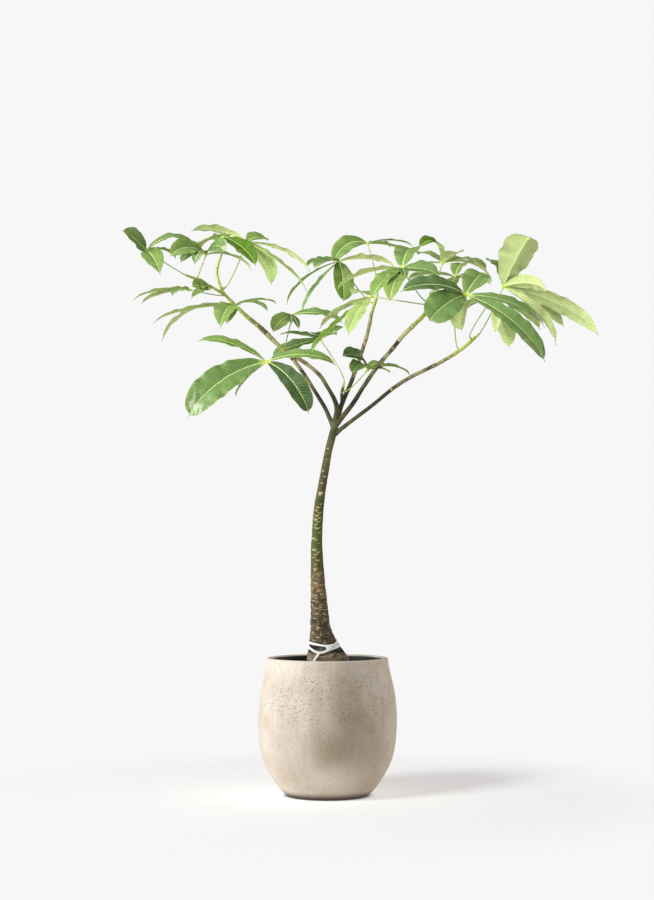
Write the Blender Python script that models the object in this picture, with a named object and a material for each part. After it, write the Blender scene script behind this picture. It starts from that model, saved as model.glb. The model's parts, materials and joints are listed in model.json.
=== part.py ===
# Potted money tree (Pachira): a branched trunk with a swollen foot, palmate leaves on long
# stalks, a white cord tied round the foot, dark soil and a round concrete pot.
# +Z is up and the origin is the centre of the pot's flat base.
# Every size below is in millimetres, and MM turns it into Blender's metres.

import math

import bmesh
import bpy
import numpy as np

MM = 0.001
GAP = 0.3  # clearance left where two pieces meet
FINE_STEPS = 160  # points on a curve that sizes are read from

# Pot: a smooth curve runs through these (radius, height) points of its outer side
POT_SIDE = (
    (82, 0), (96, 10), (114, 34), (133, 70), (142, 108), (145, 160),
    (142, 205), (135, 240), (129, 266), (127.5, 280),
)
POT_HEIGHT = 285
POT_BASE_CORNER = 79  # radius of the flat that the pot stands on
POT_WALL = 12
POT_FLOOR = 16
POT_RIM_ROUND = 3
POT_SEGMENTS = 36  # round the soil too, so that the gap between them is even
POT_PROFILE_STEPS = 12
POT_INNER_HEIGHTS = (45, 80, 130, 190, 240)
POT_COVE = (8, 10)  # rise and inset of the bevel between wall and floor

# Soil
SOIL_TOP = 260
SOIL_MOUND = 4  # how far the soil rises towards the trunk
SOIL_MOUND_RADIUS = 60

# Trunk: centre x, y, height and radius
TRUNK = (
    (2, 0, 200, 30), (2, 0, 255, 38), (1, 0, 282, 37.5), (-3, 0, 298, 34),
    (-8, 0, 312, 30), (-11, 0, 330, 25.5), (-15, 0, 353, 20.5), (-18, 2, 407, 17),
    (-21.5, 4, 476, 13.5), (-22.5, 5, 529, 11.7), (-18, 4, 598, 10.4), (-7, 0, 669, 8.6),
    (3, -3, 721, 8), (12, -2, 757, 8), (16, 0, 775, 7.6), (18, 0, 790, 5.5),
)
TRUNK_SIDES = 20
TRUNK_STATIONS = (
    200, 240, 262, 275, 288, 298, 306, 314, 324, 336, 353, 380, 425, 475, 530, 600, 670,
    720, 757, 778, 790,
)
ROOT_LOBES = 3
ROOT_LOBE_TURN = math.radians(-30)  # one lobe points to the right and forward
ROOT_LOBE_DEPTH = 9
ROOT_LOBE_TOP = 326  # height where the lobes have run out into the round stem
ROOT_LOBE_FULL = 285

# Branches: x, y, z and radius along each
BRANCHES = {
    "low_right": (
        (15, 0, 755, 5.0), (51, -8, 782, 4.2), (93, -18, 813, 4.0), (139, -25, 850, 4.0),
        (176, -30, 873, 4.0), (235, -35, 902, 3.8), (279, -38, 929, 3.6), (312, -40, 957, 3.2),
    ),
    "high_right": (
        (19, 0, 776, 5.5), (51, -12, 815, 5.0), (78, -30, 856, 4.6), (105, -45, 894, 4.4),
        (133, -60, 926, 4.2), (158, -70, 956, 4.4), (181, -78, 978, 4.2), (205, -85, 1003, 3.8),
        (212, -88, 1035, 3.6),
    ),
    "middle": (
        (19, 0, 776, 6.0), (25, 3, 801, 5.4), (34, 10, 828, 5.0), (47, 20, 858, 4.6),
        (60, 30, 893, 4.4), (75, 42, 938, 4.2), (88, 55, 982, 4.0), (96, 66, 1023, 3.6),
        (106, 72, 1054, 3.4),
    ),
    "near_left": (
        (18, 0, 784, 6.0), (20, -4, 809, 5.4), (13, -12, 830, 4.6), (0, -22, 852, 4.2),
        (-17, -32, 877, 4.2), (-44, -42, 899, 4.2), (-67, -50, 913, 4.2), (-98, -58, 931, 3.8),
    ),
    "far_left": (
        (15, 0, 763, 5.5), (6, 3, 785, 4.8), (-6, 8, 812, 4.4), (-27, 15, 847, 4.2),
        (-50, 22, 884, 4.2), (-79, 30, 923, 4.2), (-105, 33, 947, 4.4), (-135, 34, 978, 4.6),
        (-167, 32, 1004, 4.4), (-188, 30, 1023, 4.0), (-207, 27, 1042, 3.4), (-224, 25, 1060, 3.0),
    ),
    "side_twig": (
        (-220, 26, 1055, 3.0), (-254, 18, 1074, 2.6), (-277, 10, 1085, 2.6), (-295, 5, 1091, 2.6),
    ),
    "up_twig": (
        (-222, 25, 1056, 3.0), (-231, 24, 1079, 2.8), (-236, 22, 1101, 2.8),
        (-233, 20, 1120, 2.6), (-228, 18, 1134, 2.4),
    ),
    "inner_twig": ((32, 8, 823, 3.6), (30, 0, 839, 3.0), (34, -6, 858, 2.8)),
}
BRANCH_SIDES = 7
BRANCH_STEP = 28  # length between two rings of a branch
BRANCH_TIP = 0.6  # a tip's length and end radius, as shares of the branch's radius

# Cord tied round the foot
TIE_WIDTH = 4.6
TIE_THICK = 1.8
TIE_GAP = 0.8  # clearance from the stem, whose flat faces cut the curve short
TIE_TURN_STEPS = 32
TIE_TAIL_STEPS = 8
TIE_KNOT_STEPS = 5
UPPER_LOOP = ((-180, 318), (-120, 314), (-80, 311), (-40, 314), (0, 321), (90, 322))
LOWER_LOOP = ((-180, 315), (-145, 306), (-112, 297), (-75, 303), (-40, 309), (0, 313), (90, 317))
TIE_TAIL = ((-112, 297), (-122, 288), (-132, 277), (-134, 269))
TIE_KNOT = ((-84, 305.5), (-62, 308.5))  # where the loops are wound together
TIE_KNOT_SIZE = (9.5, 3.2)

# Stalks
STALK_RADIUS = 1.6
STALK_FOOT_RADIUS = 2.3
STALK_GAP = 0.4  # its foot's clearance from the branch
STALK_FOOT = 4  # straight length square to the branch
STALK_SIDES = 6
STALK_STEPS = 4
STALK_BEND = 0.12  # how far its ends run straight, as a share of the way to the hub
HUB_RADIUS = 5

# Leaflets
BLADE_THICK = 0.9
BLADE_STATIONS = (0, 0.1, 0.32, 0.56, 0.8)  # shares of the length, before the tip
BLADE_FOLD = math.radians(16)  # how far each half rises from the midrib
BLADE_FOOT_WIDTH = 2.6
BLADE_FOOT_POWER = 0.8  # the width grows with this power of the way from the hub
BLADE_TIP_POWER = 0.55  # and falls with this power of the way that is left to the tip

# Leaves: the branch and the share of it where the stalk stands, the hub where the leaflets
# meet, the way the leaf's upper side faces, and for each leaflet how far its tip reaches
# from the hub, its width, its upward bow as a share of its length, and its turn in degrees
LEAVES = {
    "leaf_01": ("side_twig", 1.0, (-385, 0, 1145), (0, -0.3, 1), (
        ((-45, -60, 35), 46, 0.03, 62), ((110, 50, 15), 28, 0.22, -15),
        ((55, 110, 5), 26, 0.08, 0), ((40, -95, -65), 44, 0.08, -15),
        ((15, 130, 10), 26, 0.05, 0))),
    "leaf_02": ("side_twig", 0.7, (-255, -40, 1130), (0, -0.3, 1), (
        ((-70, -85, -15), 42, 0.14, 42), ((-50, -60, -25), 26, 0.16, 20),
        ((-20, -70, -30), 26, 0.20, 10), ((45, -50, 0), 38, 0.20, -40),
        ((95, 60, -20), 28, 0.12, 0))),
    "leaf_03": ("up_twig", 1.0, (-220, -20, 1170), (0, -0.3, 1), (
        ((-70, 20, -20), 28, 0.06, 0), ((-60, 70, -15), 24, 0.10, 0),
        ((75, -100, -75), 48, 0.06, -5), ((0, 60, 5), 26, 0.10, 0),
        ((-20, 100, 5), 26, 0.10, 0))),
    "leaf_04": ("up_twig", 0.12, (-175, 70, 1175), (0, 0.1, 1), (
        ((-120, -20, 25), 38, 0.09, -8), ((45, 50, 15), 40, 0.12, -35),
        ((140, 30, -55), 26, 0.10, 0), ((55, 50, -85), 46, 0.16, 0),
        ((135, -10, -105), 28, 0.05, 0))),
    "leaf_05": ("far_left", 0.97, (-285, -110, 1045), (0, 0, 1), (
        ((-115, -20, -20), 26, 0.06, 0), ((-105, 40, -20), 26, 0.06, 0),
        ((-30, -70, -20), 24, 0.08, 0), ((-45, 110, 10), 22, 0.06, 0))),
    "leaf_06": ("side_twig", 0.3, (-250, -10, 1062), (0, -0.5, 1), (
        ((-35, -40, 0), 32, 0.08, 45), ((-40, 0, -20), 22, 0.10, 10),
        ((-10, -50, -5), 20, 0.10, 0))),
    "leaf_07": ("near_left", 1.0, (-190, -95, 1015), (0, -0.2, 1), (
        ((-170, -30, -35), 36, 0.05, 0), ((-160, 40, -65), 28, 0.16, -10),
        ((-25, -120, -60), 50, 0.10, 0), ((-15, -60, -45), 34, 0.10, 0),
        ((70, -40, -15), 26, 0.14, 0), ((85, 60, 15), 22, 0.08, 0))),
    "leaf_08": ("near_left", 0.94, (-125, -120, 895), (0, -0.6, 1), (
        ((-160, -50, -115), 66, 0.12, 34), ((-145, 20, 50), 32, 0.10, 0),
        ((90, -60, -110), 46, 0.15, -15), ((145, 30, 0), 30, 0.13, -14),
        ((-70, 60, -65), 30, 0.05, 0))),
    "leaf_09": ("near_left", 0.97, (-75, 20, 1010), (0, -0.2, 1), (
        ((-40, -80, -45), 36, 0.08, 25), ((-45, 70, 0), 16, 0.06, 0),
        ((110, 0, -15), 34, 0.10, -22), ((0, -90, -30), 14, 0.06, 0),
        ((15, -50, -35), 14, 0.06, 0))),
    "leaf_10": ("inner_twig", 1.0, (-15, 40, 960), (0, -0.4, 1), (
        ((-90, 50, 20), 26, 0.05, 0), ((-105, -40, -40), 34, 0.04, 15),
        ((50, 40, 35), 30, 0.05, 0), ((-15, 90, 25), 22, 0.05, 0),
        ((35, -60, 5), 26, 0.05, 0))),
    "leaf_11": ("inner_twig", 0.7, (85, -10, 890), (0, -0.5, 1), (
        ((-55, -60, 25), 42, 0.17, 25), ((-35, -80, -15), 38, 0.16, 10),
        ((95, 80, 0), 26, 0.10, 0), ((50, 50, 0), 22, 0.08, 0),
        ((35, 90, 25), 26, 0.05, 0))),
    "leaf_12": ("middle", 0.95, (25, 110, 1140), (0, -0.2, 1), (
        ((-55, -80, -25), 38, 0.08, 5), ((-120, 50, -85), 24, 0.10, 0),
        ((-85, -10, -115), 24, 0.06, 0), ((10, -90, -100), 46, 0.08, 10),
        ((125, -30, -15), 42, 0.08, 18), ((-75, 90, 5), 26, 0.10, 0))),
    "leaf_13": ("middle", 1.0, (90, 200, 1195), (0, -0.2, 1), (
        ((-80, -50, -50), 40, 0.20, 45), ((55, 60, 5), 26, 0.06, 0),
        ((80, -30, -20), 30, 0.06, 0), ((-50, 60, -15), 22, 0.20, 0),
        ((105, 20, 0), 20, 0.10, 0))),
    "leaf_14": ("high_right", 0.93, (90, -50, 1040), (0, 0.1, 1), (
        ((-110, 40, -60), 30, 0.06, 0), ((-130, -105, -130), 32, 0.02, 0),
        ((-40, 60, 15), 38, 0.08, 0), ((-50, -95, -90), 38, 0.06, 10))),
    "leaf_15": ("high_right", 0.96, (155, -70, 1095), (0, -0.2, 1), (
        ((25, 90, 60), 54, 0.10, 0), ((-140, 10, -40), 40, 0.09, -14),
        ((-65, -80, -70), 44, 0.10, 0), ((-30, -100, -80), 42, 0.10, 0),
        ((75, -30, -15), 48, 0.06, -25), ((5, -70, -30), 20, 0.10, 0))),
    "leaf_16": ("high_right", 0.98, (245, 10, 1120), (0, -0.2, 1), (
        ((-55, -65, 25), 36, 0.34, 25), ((-50, 80, 35), 30, 0.08, 0),
        ((-75, 50, -10), 30, 0.08, 0), ((30, -60, 15), 50, 0.04, 0),
        ((110, 10, -35), 34, 0.16, 0), ((105, 100, 5), 32, 0.10, 0))),
    "leaf_17": ("high_right", 1.0, (280, -170, 1025), (0, -0.8, 1), (
        ((-135, -40, 5), 46, 0.14, 10), ((-80, -60, -60), 66, 0.10, 28),
        ((40, 60, 55), 56, 0.08, -5), ((165, 10, -60), 34, 0.12, 0),
        ((155, -70, -140), 44, 0.11, -6), ((-5, 60, -65), 44, 0.10, 0))),
    "leaf_18": ("low_right", 1.0, (375, 20, 1070), (0, 0.5, 1), (
        ((55, -40, 105), 84, 0.06, 0), ((-30, 50, 70), 54, 0.12, 25),
        ((85, -90, -20), 40, 0.10, 25), ((205, -10, -100), 40, 0.10, 22),
        ((140, 60, -75), 36, 0.08, 0), ((110, -50, -130), 36, 0.12, 0))),
    "leaf_19": ("low_right", 0.96, (345, -60, 1035), (0, 0.2, 1), (
        ((40, 40, -100), 44, 0.06, 0), ((110, 70, -55), 36, 0.10, 0),
        ((-60, 50, -20), 30, 0.10, 0), ((5, -10, -75), 26, 0.05, 0),
        ((25, 30, -60), 24, 0.05, 0))),
    "leaf_20": ("low_right", 0.85, (285, 170, 1115), (0, 0.2, 1), (
        ((-110, -40, -10), 46, 0.08, 25), ((30, 100, 45), 38, 0.10, 0),
        ((85, 60, -5), 38, 0.10, 0), ((-15, -60, -40), 28, 0.10, 0),
        ((35, -70, -40), 28, 0.10, 0))),
}


def clear_scene():
    for thing in list(bpy.data.objects):
        bpy.data.objects.remove(thing)


def material(name, colour, roughness):
    made = bpy.data.materials.new(name)
    made.use_nodes = True
    shader = made.node_tree.nodes["Principled BSDF"]
    shader.inputs["Base Color"].default_value = (*colour, 1)
    shader.inputs["Roughness"].default_value = roughness
    shader.inputs["Metallic"].default_value = 0
    return made


def add_mesh(name, points, faces, finish, where=None):
    """A new object from points in millimetres."""
    mesh = bpy.data.meshes.new(name)
    mesh.from_pydata((np.asarray(points, float) * MM).tolist(), [], faces)
    mesh.materials.append(finish)
    mesh.update()
    made = bpy.data.objects.new(name, mesh)
    (where or bpy.context.scene.collection).objects.link(made)
    return made


def smooth_curve(points, steps):
    """Points along the Catmull-Rom curve through the given ones, end points included."""
    points = np.asarray(points, float)
    ends = np.vstack([2 * points[0] - points[1], points, 2 * points[-1] - points[-2]])
    share = np.linspace(0, len(points) - 1, steps)
    span = np.minimum(share.astype(int), len(points) - 2)
    t = (share - span)[:, None]
    a, b, c, d = (ends[span + i] for i in range(4))
    return 0.5 * (
        2 * b + (c - a) * t + (2 * a - 5 * b + 4 * c - d) * t**2
        + (3 * b - a - 3 * c + d) * t**3
    )


def unit(vector):
    return vector / np.linalg.norm(vector, axis=-1, keepdims=True)


def ring_faces(rings, sides):
    """Quads between rings of points, and a cap at each end."""
    faces = [
        (i * sides + j, i * sides + (j + 1) % sides,
         (i + 1) * sides + (j + 1) % sides, (i + 1) * sides + j)
        for i in range(rings - 1) for j in range(sides)
    ]
    faces.append(tuple(range(sides))[::-1])
    faces.append(tuple((rings - 1) * sides + j for j in range(sides)))
    return faces


def across(path):
    """Two directions square to the path at each point, carried along without twisting."""
    along = unit(np.gradient(path, axis=0))
    helper = np.array((0, 1.0, 0)) if abs(along[0][1]) < 0.9 else np.array((1.0, 0, 0))
    first = [unit(np.cross(along[0], helper))]
    for step in along[1:]:
        first.append(unit(first[-1] - np.dot(first[-1], step) * step))
    first = np.array(first)
    return first, np.cross(along, first)


def tube(name, path, radii, sides, finish, where=None):
    """A closed tube along a path, with a radius for each point."""
    first, second = across(path)
    turn = np.linspace(0, 2 * np.pi, sides, endpoint=False)[None, :, None]
    offset = first[:, None] * np.cos(turn) + second[:, None] * np.sin(turn)
    points = path[:, None] + offset * np.asarray(radii, float)[:, None, None]
    return add_mesh(name, points.reshape(-1, 3), ring_faces(len(path), sides), finish, where)


def turned(name, profile, sides, finish):
    """A closed solid turned round Z from a profile that runs from axis to axis."""
    profile = np.asarray(profile, float)
    turn = np.linspace(0, 2 * np.pi, sides, endpoint=False)
    rim = profile[1:-1]
    points = np.stack(
        [np.outer(rim[:, 0], np.cos(turn)), np.outer(rim[:, 0], np.sin(turn)),
         np.repeat(rim[:, 1:], sides, axis=1)], axis=-1).reshape(-1, 3)
    points = np.vstack([points, (0, 0, profile[0, 1]), (0, 0, profile[-1, 1])])
    low, high = len(points) - 2, len(points) - 1
    faces = ring_faces(len(rim), sides)[:-2]
    last = (len(rim) - 1) * sides
    for j in range(sides):
        k = (j + 1) % sides
        faces.append((low, k, j))
        faces.append((high, last + j, last + k))
    return add_mesh(name, points, faces, finish)


def join_solids(name, helpers, first):
    """One body from a first solid and a collection of others that overlap it."""
    union = first.modifiers.new("union", "BOOLEAN")
    union.operation = "UNION"
    union.operand_type = "COLLECTION"
    union.collection = helpers
    union.solver = "EXACT"
    apply_modifiers(first)
    for other in list(helpers.objects):
        bpy.data.objects.remove(other)
    bpy.data.collections.remove(helpers)
    first.name = name
    return first


def apply_modifiers(thing):
    graph = bpy.context.evaluated_depsgraph_get()
    mesh = bpy.data.meshes.new_from_object(thing.evaluated_get(graph))
    thing.modifiers.clear()
    thing.data = mesh


def cut_away(thing, cutter):
    cut = thing.modifiers.new("cut", "BOOLEAN")
    cut.operation = "DIFFERENCE"
    cut.object = cutter
    cut.solver = "EXACT"
    apply_modifiers(thing)
    bpy.data.objects.remove(cutter)


def shade_round(thing, degrees=35):
    thing.data.shade_smooth()
    thing.data.set_sharp_from_angle(angle=math.radians(degrees))


def helper_collection(name):
    made = bpy.data.collections.new(name)
    bpy.context.scene.collection.children.link(made)
    return made


def pot_outer():
    side = smooth_curve(POT_SIDE, POT_PROFILE_STEPS)
    return [(POT_BASE_CORNER, 0)] + [tuple(p) for p in side[1:]]


def pot_inner_radius(height):
    side = smooth_curve(POT_SIDE, FINE_STEPS)
    return np.interp(height, side[:, 1], side[:, 0]) - POT_WALL


def pot_floor_corner(out):
    """The bevel between the pot's floor and wall, or that far inside it."""
    rise, inset = POT_COVE
    wall = pot_inner_radius(POT_FLOOR + rise) - out
    return [(wall - inset, POT_FLOOR + out), (wall, POT_FLOOR + rise + out)]


def make_pot(finish):
    rim_radius, rim_side = POT_SIDE[-1]
    profile = [(0, 0)] + pot_outer()
    profile += [(rim_radius - POT_RIM_ROUND, POT_HEIGHT),
                (rim_radius - POT_WALL + POT_RIM_ROUND, POT_HEIGHT)]
    profile += [(pot_inner_radius(h), h) for h in (rim_side, *POT_INNER_HEIGHTS[::-1])]
    profile += [*pot_floor_corner(0)[::-1], (0, POT_FLOOR)]
    shade_round(turned("pot", profile, POT_SEGMENTS, finish))


def trunk_centre(height):
    curve = smooth_curve(TRUNK, FINE_STEPS)
    return np.stack([np.interp(height, curve[:, 2], curve[:, i]) for i in (0, 1)], axis=-1)


def trunk_radius(height, turn):
    """The stem's radius at a height and turn: the round stem plus the root lobes."""
    curve = smooth_curve(TRUNK, FINE_STEPS)
    stem = np.interp(height, curve[:, 2], curve[:, 3])
    share = np.clip((ROOT_LOBE_TOP - height) / (ROOT_LOBE_TOP - ROOT_LOBE_FULL), 0, 1)
    lobe = 0.5 + 0.5 * np.cos(ROOT_LOBES * (turn - ROOT_LOBE_TURN))
    return stem + ROOT_LOBE_DEPTH * share * share * (3 - 2 * share) * lobe


def trunk_points(height, turn, out=0.0):
    """Points on the stem's surface, or that far outside it."""
    radius = trunk_radius(height, turn) + out
    centre = trunk_centre(height)
    return np.stack([centre[..., 0] + radius * np.cos(turn),
                     centre[..., 1] + radius * np.sin(turn),
                     np.broadcast_to(height, np.shape(radius))], axis=-1)


def branch_curve(name):
    """A branch's centre line and radii, with rings about BRANCH_STEP apart."""
    route = np.asarray(BRANCHES[name], float)
    length = np.linalg.norm(np.diff(route[:, :3], axis=0), axis=1).sum()
    return smooth_curve(route, max(4, round(length / BRANCH_STEP) + 1))


def make_trunk(finish):
    turn = np.linspace(0, 2 * np.pi, TRUNK_SIDES, endpoint=False)
    rings = [trunk_points(np.float64(z), turn) for z in TRUNK_STATIONS]
    trunk = add_mesh("trunk", np.vstack(rings), ring_faces(len(rings), TRUNK_SIDES), finish)
    helpers = helper_collection("branches")
    for name in BRANCHES:
        curve = branch_curve(name)
        tip = curve[-1].copy()
        tip[:3] += unit(curve[-1, :3] - curve[-2, :3]) * curve[-1, 3] * BRANCH_TIP
        tip[3] *= BRANCH_TIP
        curve = np.vstack([curve, tip])
        tube(name, curve[:, :3], curve[:, 3], BRANCH_SIDES, finish, helpers)
    shade_round(join_solids("trunk", helpers, trunk))


def make_soil(finish):
    inner = [(pot_inner_radius(h) - GAP, h) for h in (*POT_INNER_HEIGHTS, SOIL_TOP)]
    mound = [(SOIL_MOUND_RADIUS, SOIL_TOP + SOIL_MOUND), (0, SOIL_TOP + SOIL_MOUND)]
    profile = [(0, POT_FLOOR + GAP), *pot_floor_corner(GAP), *inner, *mound]
    soil = turned("soil", profile, POT_SEGMENTS, finish)
    turn = np.linspace(0, 2 * np.pi, TRUNK_SIDES, endpoint=False)
    levels = (TRUNK_STATIONS[0] - GAP, *TRUNK_STATIONS[1:5])
    hole = [trunk_points(np.float64(z), turn, 2 * GAP) for z in levels]
    cut_away(soil, add_mesh("hole", np.vstack(hole), ring_faces(len(hole), TRUNK_SIDES), finish))
    shade_round(soil)


def tie_band(name, turns, heights, finish, closed, where=None, size=(TIE_WIDTH, TIE_THICK)):
    """A flat cord along the stem's surface, at the given turns and heights."""
    width, thick = size
    radius = trunk_radius(heights, turns)
    if closed:
        over = radius * 4 * np.pi / len(turns)
        up = np.roll(heights, -1) - np.roll(heights, 1)
    else:
        over = radius * np.gradient(turns)
        up = np.gradient(heights)
    length = np.hypot(over, up)
    aside = -up / length * width / 2 / radius  # half the width, as a turn and a height
    above = over / length * width / 2
    low = (heights - above, turns - aside)
    high = (heights + above, turns + aside)
    rows = np.stack([trunk_points(*low, TIE_GAP), trunk_points(*high, TIE_GAP),
                     trunk_points(*high, TIE_GAP + thick),
                     trunk_points(*low, TIE_GAP + thick)], axis=1)
    count = len(turns)
    faces = [
        (4 * i + j, 4 * i + (j + 1) % 4,
         4 * ((i + 1) % count) + (j + 1) % 4, 4 * ((i + 1) % count) + j)
        for i in range(count if closed else count - 1) for j in range(4)
    ]
    if not closed:
        faces += [(3, 2, 1, 0), tuple(4 * (count - 1) + j for j in range(4))]
    made = add_mesh(name, rows.reshape(-1, 3), faces, finish, where)
    face_outwards(made)
    return made


def face_outwards(thing):
    bm = bmesh.new()
    bm.from_mesh(thing.data)
    bmesh.ops.recalc_face_normals(bm, faces=bm.faces)
    bm.to_mesh(thing.data)
    bm.free()


def loop_heights(loop, turns):
    """The loop's height at each turn, from its (turn in degrees, height) points."""
    degrees, heights = np.array(loop, float).T
    return np.interp(np.degrees(turns), degrees, heights, period=360)


def make_tie(finish):
    turns = np.linspace(-np.pi, np.pi, TIE_TURN_STEPS, endpoint=False)
    upper = tie_band("upper", turns, loop_heights(UPPER_LOOP, turns), finish, True)
    helpers = helper_collection("tie_parts")
    tie_band("lower", turns, loop_heights(LOWER_LOOP, turns), finish, True, helpers)
    tail = smooth_curve(TIE_TAIL, TIE_TAIL_STEPS)
    tie_band("tail", np.radians(tail[:, 0]), tail[:, 1], finish, False, helpers)
    knot = smooth_curve(TIE_KNOT, TIE_KNOT_STEPS)
    tie_band("knot", np.radians(knot[:, 0]), knot[:, 1], finish, False, helpers, TIE_KNOT_SIZE)
    shade_round(join_solids("tie_cord", helpers, upper))


def stalk_route(branch, share, hub):
    """Points from just off the branch's surface, leaving it squarely, to the hub."""
    curve = branch_curve(branch)
    place = share * (len(curve) - 1)
    low = min(int(place), len(curve) - 2)
    here = curve[low] + (curve[low + 1] - curve[low]) * (place - low)
    along = unit(curve[low + 1, :3] - curve[low, :3])
    hub = np.asarray(hub, float)
    if share == 1:
        leave = along
        start = here[:3] + along * (here[3] * BRANCH_TIP + STALK_GAP)
    else:
        away = hub - here[:3]
        leave = unit(away - np.dot(away, along) * along)
        start = here[:3] + leave * (here[3] + STALK_GAP)
    foot = start + leave * STALK_FOOT
    reach = np.linalg.norm(hub - foot)
    t = np.linspace(0, 1, STALK_STEPS + 1)[:, None]
    first = foot + leave * STALK_BEND * reach
    second = hub - unit(hub - first) * STALK_BEND * reach
    curve = ((1 - t) ** 3 * foot + 3 * (1 - t) ** 2 * t * first
             + 3 * (1 - t) * t**2 * second + t**3 * hub)
    return np.vstack([start, curve])


def blade_width(share, width):
    """Half the leaflet's width: narrow at its foot, widest past the middle, pointed at the tip."""
    full = BLADE_FOOT_POWER / (BLADE_FOOT_POWER + BLADE_TIP_POWER)
    fullest = full**BLADE_FOOT_POWER * (1 - full) ** BLADE_TIP_POWER
    shape = share**BLADE_FOOT_POWER * (1 - share) ** BLADE_TIP_POWER / fullest
    return np.maximum(0.5 * width * shape, BLADE_FOOT_WIDTH / 2)


def make_blade(name, hub, facing, leaflet, finish, where):
    """One leaflet: a thin folded blade, bowed upwards from the hub to its tip."""
    reach, width, bow, turn = leaflet
    reach = np.asarray(reach, float)
    length = np.linalg.norm(reach)
    up = np.asarray(facing, float)
    up = unit(up - np.dot(up, reach) * reach / length**2)
    share = np.array((*BLADE_STATIONS, 1.0))
    middle = np.asarray(hub, float) + np.outer(share, reach)
    middle = middle + np.outer(bow * length * 4 * share * (1 - share), up)
    slope = reach + np.outer(bow * length * 4 * (1 - 2 * share), up)
    flat = unit(np.cross(unit(slope), up))
    normal = np.cross(flat, unit(slope))
    turn = math.radians(turn)
    flat, normal = (flat * math.cos(turn) + normal * math.sin(turn),
                    normal * math.cos(turn) - flat * math.sin(turn))
    half = blade_width(share, width)[:, None]
    rise = normal * half * math.sin(BLADE_FOLD)
    left = middle - flat * half * math.cos(BLADE_FOLD) + rise
    right = middle + flat * half * math.cos(BLADE_FOLD) + rise
    skin = normal * BLADE_THICK / 2
    rows = np.stack([left + skin, middle + skin, right + skin,
                     left - skin, middle - skin, right - skin], axis=1)[:-1].reshape(-1, 3)
    points = np.vstack([rows, middle[-1] + skin[-1], middle[-1] - skin[-1]])
    faces = [(0, 4, 3), (0, 1, 4), (1, 5, 4), (1, 2, 5)]
    last = len(BLADE_STATIONS) - 1
    for i in range(last):
        a, b = 6 * i, 6 * (i + 1)
        for left_corner, right_corner in ((0, 1), (1, 2)):
            low, high = left_corner, right_corner
            faces += [(a + low, b + high, a + high), (a + low, b + low, b + high)]
            faces += [(a + low + 3, a + high + 3, b + high + 3),
                      (a + low + 3, b + high + 3, b + low + 3)]
        faces += [(a, a + 3, b + 3), (a, b + 3, b), (a + 2, b + 5, a + 5), (a + 2, b + 2, b + 5)]
    e, top, bottom = 6 * last, 6 * last + 6, 6 * last + 7
    faces += [(e, top, e + 1), (e + 1, top, e + 2), (e + 3, e + 4, bottom), (e + 4, e + 5, bottom)]
    faces += [(e, e + 3, bottom), (e, bottom, top), (e + 2, bottom, e + 5), (e + 2, top, bottom)]
    return add_mesh(name, points, faces, finish, where)


def make_leaf(name, finish):
    branch, share, hub, facing, leaflets = LEAVES[name]
    route = stalk_route(branch, share, hub)
    radii = np.full(len(route), STALK_RADIUS)
    radii[0] = radii[-1] = STALK_FOOT_RADIUS
    leaf = tube(name, route, radii, STALK_SIDES, finish)
    helpers = helper_collection(name + "_leaflets")
    bm = bmesh.new()
    bmesh.ops.create_icosphere(bm, subdivisions=1, radius=HUB_RADIUS * MM)
    bmesh.ops.translate(bm, verts=bm.verts, vec=[c * MM for c in hub])
    mesh = bpy.data.meshes.new("hub")
    bm.to_mesh(mesh)
    bm.free()
    helpers.objects.link(bpy.data.objects.new("hub", mesh))
    for i, leaflet in enumerate(leaflets):
        make_blade(f"leaflet_{i}", hub, facing, leaflet, finish, helpers)
    shade_round(join_solids(name, helpers, leaf))


def main():
    clear_scene()
    make_pot(material("concrete", (0.78, 0.73, 0.64), 0.85))
    make_soil(material("soil", (0.03, 0.022, 0.018), 0.95))
    make_trunk(material("bark", (0.16, 0.14, 0.07), 0.75))
    make_tie(material("white_cord", (0.85, 0.85, 0.82), 0.8))
    green = material("leaf_green", (0.12, 0.28, 0.05), 0.45)
    for name in LEAVES:
        make_leaf(name, green)


main()
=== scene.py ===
import json
import math

import bpy
import numpy as np
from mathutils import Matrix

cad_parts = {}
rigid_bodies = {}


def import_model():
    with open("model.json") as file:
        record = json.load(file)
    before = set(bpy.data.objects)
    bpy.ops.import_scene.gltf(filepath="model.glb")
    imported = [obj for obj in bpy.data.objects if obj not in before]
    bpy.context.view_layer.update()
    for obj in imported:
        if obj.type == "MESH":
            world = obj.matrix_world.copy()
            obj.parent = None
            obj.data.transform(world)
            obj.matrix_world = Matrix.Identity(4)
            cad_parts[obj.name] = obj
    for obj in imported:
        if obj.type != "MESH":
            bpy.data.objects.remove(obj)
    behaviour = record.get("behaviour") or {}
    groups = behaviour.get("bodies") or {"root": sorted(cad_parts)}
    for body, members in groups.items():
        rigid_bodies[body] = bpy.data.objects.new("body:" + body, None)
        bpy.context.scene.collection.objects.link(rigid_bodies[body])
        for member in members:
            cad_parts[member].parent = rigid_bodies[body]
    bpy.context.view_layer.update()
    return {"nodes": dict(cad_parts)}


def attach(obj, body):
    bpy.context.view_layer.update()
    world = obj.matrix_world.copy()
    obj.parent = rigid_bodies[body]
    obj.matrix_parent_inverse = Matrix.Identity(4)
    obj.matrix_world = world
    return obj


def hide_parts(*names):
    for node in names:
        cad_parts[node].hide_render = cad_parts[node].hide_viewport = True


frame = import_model()
print("frame loaded:", len(frame["nodes"]), "nodes")

mm = 0.001
fullTurn = 2 * np.pi
fineSteps = 400  # of a curve that is only read between its points
photoSize = (654, 900)


# Numbers and curves

def ease(low, high, value):
    # a smooth step from 0 at low to 1 at high
    share = np.clip((value - low) / (high - low), 0, 1)
    return share * share * (3 - 2 * share)


def calmEnds(spans, value):
    # 1 between two spans and 0 outside them: a smooth step over the one times that over the
    # other, which runs down
    return ease(*spans[0], value) * ease(*spans[1], value)


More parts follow.
